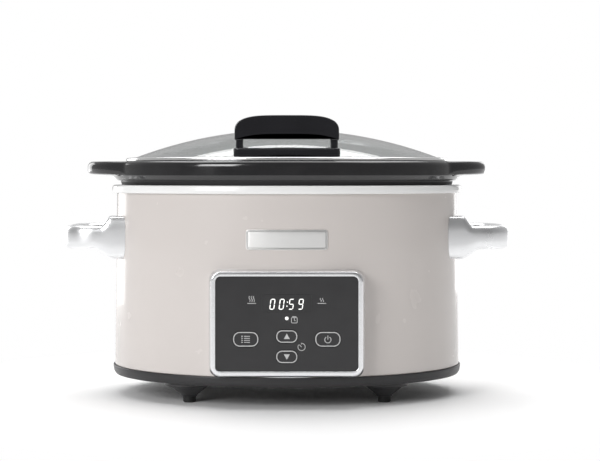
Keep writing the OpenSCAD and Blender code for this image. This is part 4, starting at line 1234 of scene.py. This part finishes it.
def power_sign(piece, u, v):
    turns = [radians(-150 + 300 * k / 28) for k in range(29)]
    arc = [(u + 2.5 * sin(t), v - 0.4 - 2.5 * cos(t)) for t in turns]
    stroke(piece, arc, 0.55, KEY_FRONT)
    stroke(piece, [(u, v - 0.3), (u, v + 3.0)], 0.55, KEY_FRONT)


key("key_menu", "button_menu", list_sign)
key("key_up", "button_up", arrow(1))
key("key_down", "button_down", arrow(-1))
key("key_power", "button_power", power_sign)

# %% Digits and signs on the fascia
marks = Piece().paint("led_lens")
mark_y = FASCIA_FRONT - PRINT_DEEP + 0.02
for sign, u0 in zip("0059", (-13.65, -6.25, 1.5, 9.05)):
    digit(marks, sign, u0, BEZEL_Z + 11.8, 3.2, 7.9, mark_y)
for u, rise in ((0.1, 14.2), (0.516, 17.4)):
    dot = circle(0.5, u, BEZEL_Z + rise, 12)
    marks.slab(scaled(dot), mark_y * mm, (mark_y + PRINT_DEEP) * mm)
marks.make("clock_digits", "base")

signs = Piece().paint("print_grey")
for u, waves in ((-28, (-1.7, 0, 1.7)), (28, (-0.9, 0.9))):
    stroke(signs, [(u - 3.4, BEZEL_Z + 16.4), (u + 3.4, BEZEL_Z + 16.4)], 0.55, mark_y)
    for shift in waves:
        stroke(signs, wave(u + shift, BEZEL_Z + 17.6, 4.6 if u < 0 else 3), 0.45, mark_y)
clock_face(signs, 11.8, BEZEL_Z - 18.4, 2.9, mark_y)
stroke(signs, round_rect(4.6, 4.2, 0.7, u0=6, v0=BEZEL_Z + 2.9), 0.45, mark_y, closed=True)
stroke(signs, [(4.4, BEZEL_Z + 5.8), (7.6, BEZEL_Z + 5.8)], 0.5, mark_y)
stroke(signs, [(6, BEZEL_Z + 4.6), (6, BEZEL_Z + 2.6), (7.2, BEZEL_Z + 2.6)], 0.45, mark_y)
signs.make("panel_signs", "base")

led_low, led_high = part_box("indicator_led")
led_z = (led_low.z + led_high.z) / 2
lens = [(0.0, led_low.y - 0.35 * mm), (0.6 * mm, led_low.y - 0.3 * mm), (1.1 * mm, led_low.y - 0.15 * mm),
        (1.4 * mm, led_low.y + 0.1 * mm), (1.4 * mm, led_high.y - 1.5 * mm), (2 * mm, led_high.y - 1.4 * mm),
        (2 * mm, led_high.y), (0.0, led_high.y)]
Piece().paint("led_lens").turned(lens, 0, led_z, axis="Y").make("led_dome", "base", "indicator_led")
print("panel made, centre at level", round(BEZEL_Z, 1))

# %% [markdown]
# ## Badge
#
# The badge is a blank plate that follows the oval. Two dark lines run round
# it: one lies in a groove, and a finer one is nearer the edge.

# %% Badge
badge_low, badge_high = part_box("badge")
BADGE_W, BADGE_H = (badge_high.x - badge_low.x) / mm, (badge_high.z - badge_low.z) / mm
BADGE_Z = (badge_low.z + badge_high.z) / 2 / mm
BADGE_R, BADGE_ALONG, ROUND = 2.5, 16, 8


def badge_loop(inset, out):
    """The badge's outline, moved inwards, at a height over the housing."""
    outline = round_rect(BADGE_W - 2 * inset, BADGE_H - 2 * inset, max(0.3, BADGE_R - inset), along=BADGE_ALONG,
                         v0=BADGE_Z)
    return [(u * mm, -wrap_front(u * mm, v * mm, out * mm), v * mm) for u, v in outline]


def close_across(piece, base):
    """Quads between the upper and the lower side of a badge loop, because its ends are far out of one plane."""
    side = BADGE_ALONG + ROUND
    facing = [base + 3 * side + ROUND - i for i in range(side + ROUND + 1)]
    piece.face([base, base + 1, facing[1], facing[0], *range(facing[0] + 1, base + 4 * side)])
    for i in range(1, side + ROUND - 1):
        piece.face([base + i, base + i + 1, facing[i + 1], facing[i]])
    piece.face(list(range(base + side + ROUND - 1, base + 2 * side + 2)))


plate = Piece().paint("satin_plate")
middle_inset = BADGE_H / 2 - 0.35
rows = [(middle_inset, 0.1), (0, 0.1), (0, 0.7), (0.1, 0.9), (0.35, 1.0), (1.35, 1.0), (1.45, 0.8), (1.7, 0.8),
        (1.8, 1.0), (4, 1.0), (middle_inset, 1.0)]
plate.skin([badge_loop(*row) for row in rows], start=False, end=False)
close_across(plate, 0)
close_across(plate, 4 * (BADGE_ALONG + ROUND) * (len(rows) - 1))
plate.paint("component_black")
for rows in ([(1.6, 0.75), (1.42, 0.83), (1.72, 0.83), (1.74, 0.75)],
             [(0.55, 0.96), (0.55, 1.02), (0.85, 1.02), (0.85, 0.96)]):
    plate.skin([badge_loop(*row) for row in rows], cyclic=True)
plate.make("badge_plate", "base", "badge")

# %% [markdown]
# ## Feet, gland and screws
#
# The four legs and their rubber pads are turned forms. Screws are repeated
# things, so another tree places them: it takes one screw and a list of places,
# and each place says which way its screw looks.

# %% Feet and gland
def foot(name, node):
    low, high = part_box(node)
    x, y = (low.x + high.x) / 2, (low.y + high.y) / 2
    line = fillet([(3.2, 5.1, 0.2), (6.2, 5.1, 0.5), (7, 6.6, 1.2), (15.6, 13.4, 2.5), (20, 14.4, 0.5),
                   (20, 16.9, 0.4), (1.7, 16.9, 0), (1.7, 8.6, 0), (3.2, 8.6, 0)])
    Piece().paint("black_plastic").turned(scaled(line), x, y, 48, hollow=True).make(name, "base", node)
    return x, y


corners = ("front_left", "front_right", "rear_left", "rear_right")
feet = [foot("foot_" + corner, "leg_" + corner) for corner in corners]
pad_line = fillet([(0, 0.6, 0), (2.6, 0.6, 0.3), (2.9, 0, 0.2), (4.6, 0, 0.4), (5.3, 0.9, 0.4), (5.3, 2.2, 0.2),
                   (5.0, 2.5, 0.2), (5.3, 2.8, 0.2), (5.3, 5, 0.2), (0, 5, 0)], closed=False)
pads = Piece().paint("rubber")
for x, y in feet:
    pads.turned(scaled(pad_line), x, y, 40)
pads.make("rubber_feet", "base", "foot_pads")

gland_low, gland_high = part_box("cord_gland")
gland_z, G0, G1 = (gland_low.z + gland_high.z) / 2, gland_low.y / mm, gland_high.y / mm
gland_line = fillet([(3.6, G0, 0.3), (6, G0, 0.4), (6, 110.9, 0), (8.5, 111.2, 0.2), (8.5, G1 - 0.6, 0.8),
                     (7.4, G1, 0.4), (4.6, G1, 0.8), (3.6, G1 - 1.2, 0.3)])
gland = Piece().paint("black_plastic").turned(scaled(gland_line), 0, gland_z, 40, axis="Y", hollow=True)
gland.make("inlet_gland", "base", "cord_gland")
print("feet at", [(round(x, 3), round(y, 3)) for x, y in feet])

# %% The tree that places screws
def screw_places():
    t, given = new_tree("screw_places", [("Screw", "NodeSocketObject", None), ("Size", "NodeSocketFloat", 1.0),
                                         ("Seed", "NodeSocketInt", 3), ("Finish", "NodeSocketMaterial", None)])
    screw = t.node("GeometryNodeObjectInfo", None, {"Object": given["Screw"]}, "Geometry")
    facing = named(t, "facing", "FLOAT_VECTOR")
    aimed = t.node("FunctionNodeAlignEulerToVector", {"axis": "Z"}, {"Vector": facing})
    turns = {2: 0.0, 3: 2 * pi, "Seed": given["Seed"]}
    twist = t.node("FunctionNodeRandomValue", {"data_type": "FLOAT"}, turns, 1)
    spin = {"Rotation": aimed, "Axis": (0, 0, 1), "Angle": twist}
    turned = t.node("FunctionNodeRotateEuler", {"rotation_type": "AXIS_ANGLE", "space": "LOCAL"}, spin)
    points = t.node("GeometryNodeMeshToPoints", None, {"Mesh": given["Geometry"]})
    put = {"Points": points, "Instance": screw, "Rotation": turned, "Scale": given["Size"]}
    return close_tree(t, t.node("GeometryNodeInstanceOnPoints", None, put), given["Finish"])


def screw_form(head_r, head_t, shank_r, length):
    """A pan-head screw that looks up: a domed head with a cross in it, and a shank with thread grooves."""
    form = Piece().paint("screw_steel")
    line = [(0, -length), (shank_r * 0.6, -length), (shank_r, -length + shank_r * 0.6)]
    pitch, grooves = shank_r * 0.55, int((length - shank_r) / (shank_r * 0.55)) - 1
    for k in range(grooves):
        level = -length + shank_r * 0.6 + pitch * (k + 0.5)
        line += [(shank_r * 0.82, level), (shank_r, level + pitch / 2)]
    line += [(shank_r * 0.9, -0.2 * head_t), (shank_r * 0.9, 0), (head_r, 0), (head_r, head_t * 0.45)]
    line += [(head_r * cos(t), head_t * (0.45 + 0.5 * sin(t))) for t in (pi / 2 * k / 6 for k in range(1, 5))]
    form.turned(scaled(line), 0, 0, 28)
    mesh = bpy.data.meshes.new("screw")
    mesh.from_pydata(form.points, [], form.faces)
    cut = bmesh.new()
    cut.from_mesh(mesh)
    top = max(cut.faces, key=lambda f: f.calc_center_median().z)
    bmesh.ops.inset_region(cut, faces=[top], thickness=0.05 * mm, depth=0)
    for v in top.verts:
        t = (v.co.xy.angle_signed(Vector((1, 0))) + 2 * pi) % (pi / 2)
        v.co.xy *= 1.0 if min(t, pi / 2 - t) < 0.32 else 0.42
    pit = bmesh.ops.extrude_face_region(cut, geom=[top])
    for v in (g for g in pit["geom"] if isinstance(g, bmesh.types.BMVert)):
        v.co.z -= head_t * 0.45 * mm
        v.co.xy *= 0.7
    if top.is_valid:
        bmesh.ops.delete(cut, geom=[top], context="FACES_ONLY")
    cut.to_mesh(mesh)
    cut.free()
    tidy_mesh(mesh)
    form_object = bpy.data.objects.new("screw", mesh)
    scene.collection.objects.link(form_object)
    return form_object


placing = screw_places()


def solids_in(node):
    """The box of each separate solid of a CAD node."""
    mesh = frame["nodes"][node].data
    work = bmesh.new()
    work.from_mesh(mesh)
    bmesh.ops.remove_doubles(work, verts=work.verts, dist=0.02 * mm)
    left, boxes = set(work.verts), []
    while left:
        group, edge_of = set(), [left.pop()]
        while edge_of:
            v = edge_of.pop()
            group.add(v)
            fresh = {e.other_vert(v) for e in v.link_edges} & left
            left -= fresh
            edge_of.extend(fresh)
        low = Vector(min(v.co[k] for v in group) for k in range(3))
        high = Vector(max(v.co[k] for v in group) for k in range(3))
        boxes.append((low, high))
    work.free()
    return sorted(boxes, key=lambda b: tuple(round(c, 4) for c in b[0]))


def screws_like_cad(name, node, body, way, head_r, shank_r, head_t=2):
    """Screws in place of a CAD node's, each as long as the CAD has it. The sign of way says where its head is.

    A way of 0 along X is for pairs that look inwards from both sides.
    """
    axis = max(range(3), key=lambda k: abs(way[k]))
    boxes = solids_in(node)
    long = max((high - low)[axis] for low, high in boxes) / mm
    places, facings = [], []
    for low, high in boxes:
        seat = (low + high) / 2
        side = way[axis] or (-1 if seat.x > 0 else 1)
        facing = [0, 0, 0]
        facing[axis] = side
        seat[axis] = (high[axis] - head_t * mm) if side > 0 else (low[axis] + head_t * mm)
        places.append(seat)
        facings += facing
    form = screw_form(head_r, head_t, shank_r, long - head_t)
    seed = bpy.data.meshes.new(name + "_places")
    seed.from_pydata(places, [], [])
    seed.attributes.new("facing", "FLOAT_VECTOR", "POINT").data.foreach_set("vector", facings)
    values = {"Screw": form, "Size": 1.0, "Seed": 3, "Finish": finishes["screw_steel"]}
    mesh = grown(name, seed, placing, values)
    bpy.data.objects.remove(form)
    return enter(bpy.data.objects.new(name, mesh), "screw_steel", body, node)


DOWN, BACK, INWARDS = (0, 0, -1), (0, 1, 0), (0, 0, 0)
screws_like_cad("lid_grip_screws", "lid_handle_screws", "lid", DOWN, 3.5, 1.75)
screws_like_cad("lid_hinge_fixings", "lid_hinge_screws", "lid", DOWN, 3.5, 1.75)
screws_like_cad("leg_fixings", "leg_screws", "base", DOWN, 3, 1.5)
screws_like_cad("liner_fixings", "liner_screws", "base", DOWN, 3, 1.5)
screws_like_cad("handle_fixings", "handle_screws", "base", INWARDS, 3, 1.5)
screws_like_cad("panel_fixings", "panel_screws", "base", BACK, 3, 1.5)
print("screws placed")

# %% [markdown]
# ## Springs
#
# Three springs pull the ends of the heating band together. A third tree winds
# them: a spiral curve, a round wire along it, and one copy on each place.

# %% Wound springs
def wound_springs():
    t, given = new_tree("wound_springs", [
        ("Turns", "NodeSocketFloat", 13.0), ("Length", "NodeSocketFloat", 0.0143),
        ("Coil", "NodeSocketFloat", 0.0017), ("Wire", "NodeSocketFloat", 0.0005),
        ("Finish", "NodeSocketMaterial", None),
    ])
    form = {"Resolution": 20, "Rotations": given["Turns"], "Start Radius": given["Coil"],
            "End Radius": given["Coil"], "Height": given["Length"]}
    coil = t.node("GeometryNodeCurveSpiral", None, form)
    section = t.node("GeometryNodeCurvePrimitiveCircle", None, {"Resolution": 10, "Radius": given["Wire"]})
    wire = {"Curve": coil, "Profile Curve": section, "Fill Caps": True}
    solid = t.node("GeometryNodeCurveToMesh", None, wire)
    points = t.node("GeometryNodeMeshToPoints", None, {"Mesh": given["Geometry"]})
    put = {"Points": points, "Instance": solid, "Rotation": (0, pi / 2, 0)}
    return close_tree(t, t.node("GeometryNodeInstanceOnPoints", None, put), given["Finish"])


spring_low, spring_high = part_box("band_springs")
spring_y = (spring_low.y + spring_high.y) / 2
rows = sorted({round((low.z + high.z) / 2, 4) for low, high in solids_in("band_springs")})
seed = bpy.data.meshes.new("spring_places")
seed.from_pydata([(spring_low.x + 0.5 * mm, spring_y, z) for z in rows], [], [])
length = spring_high.x - spring_low.x - 1 * mm
spring_mesh = grown("springs", seed, wound_springs(), {
    "Turns": 13.0, "Length": length, "Coil": 1.7 * mm, "Wire": 0.5 * mm, "Finish": finishes["screw_steel"]})
enter(bpy.data.objects.new("springs", spring_mesh), "screw_steel", "base", "band_springs")
print("springs at levels", rows)

# %% Paint the CAD parts that stay
slot_of = {part["node"]: part["material_slot"] for part in frame["record"]["subparts"]}
for node, part in frame["nodes"].items():
    if not part.material_slots:
        part.data.materials.append(None)
    for place in part.material_slots:
        place.material = finishes[slot_of[node]]
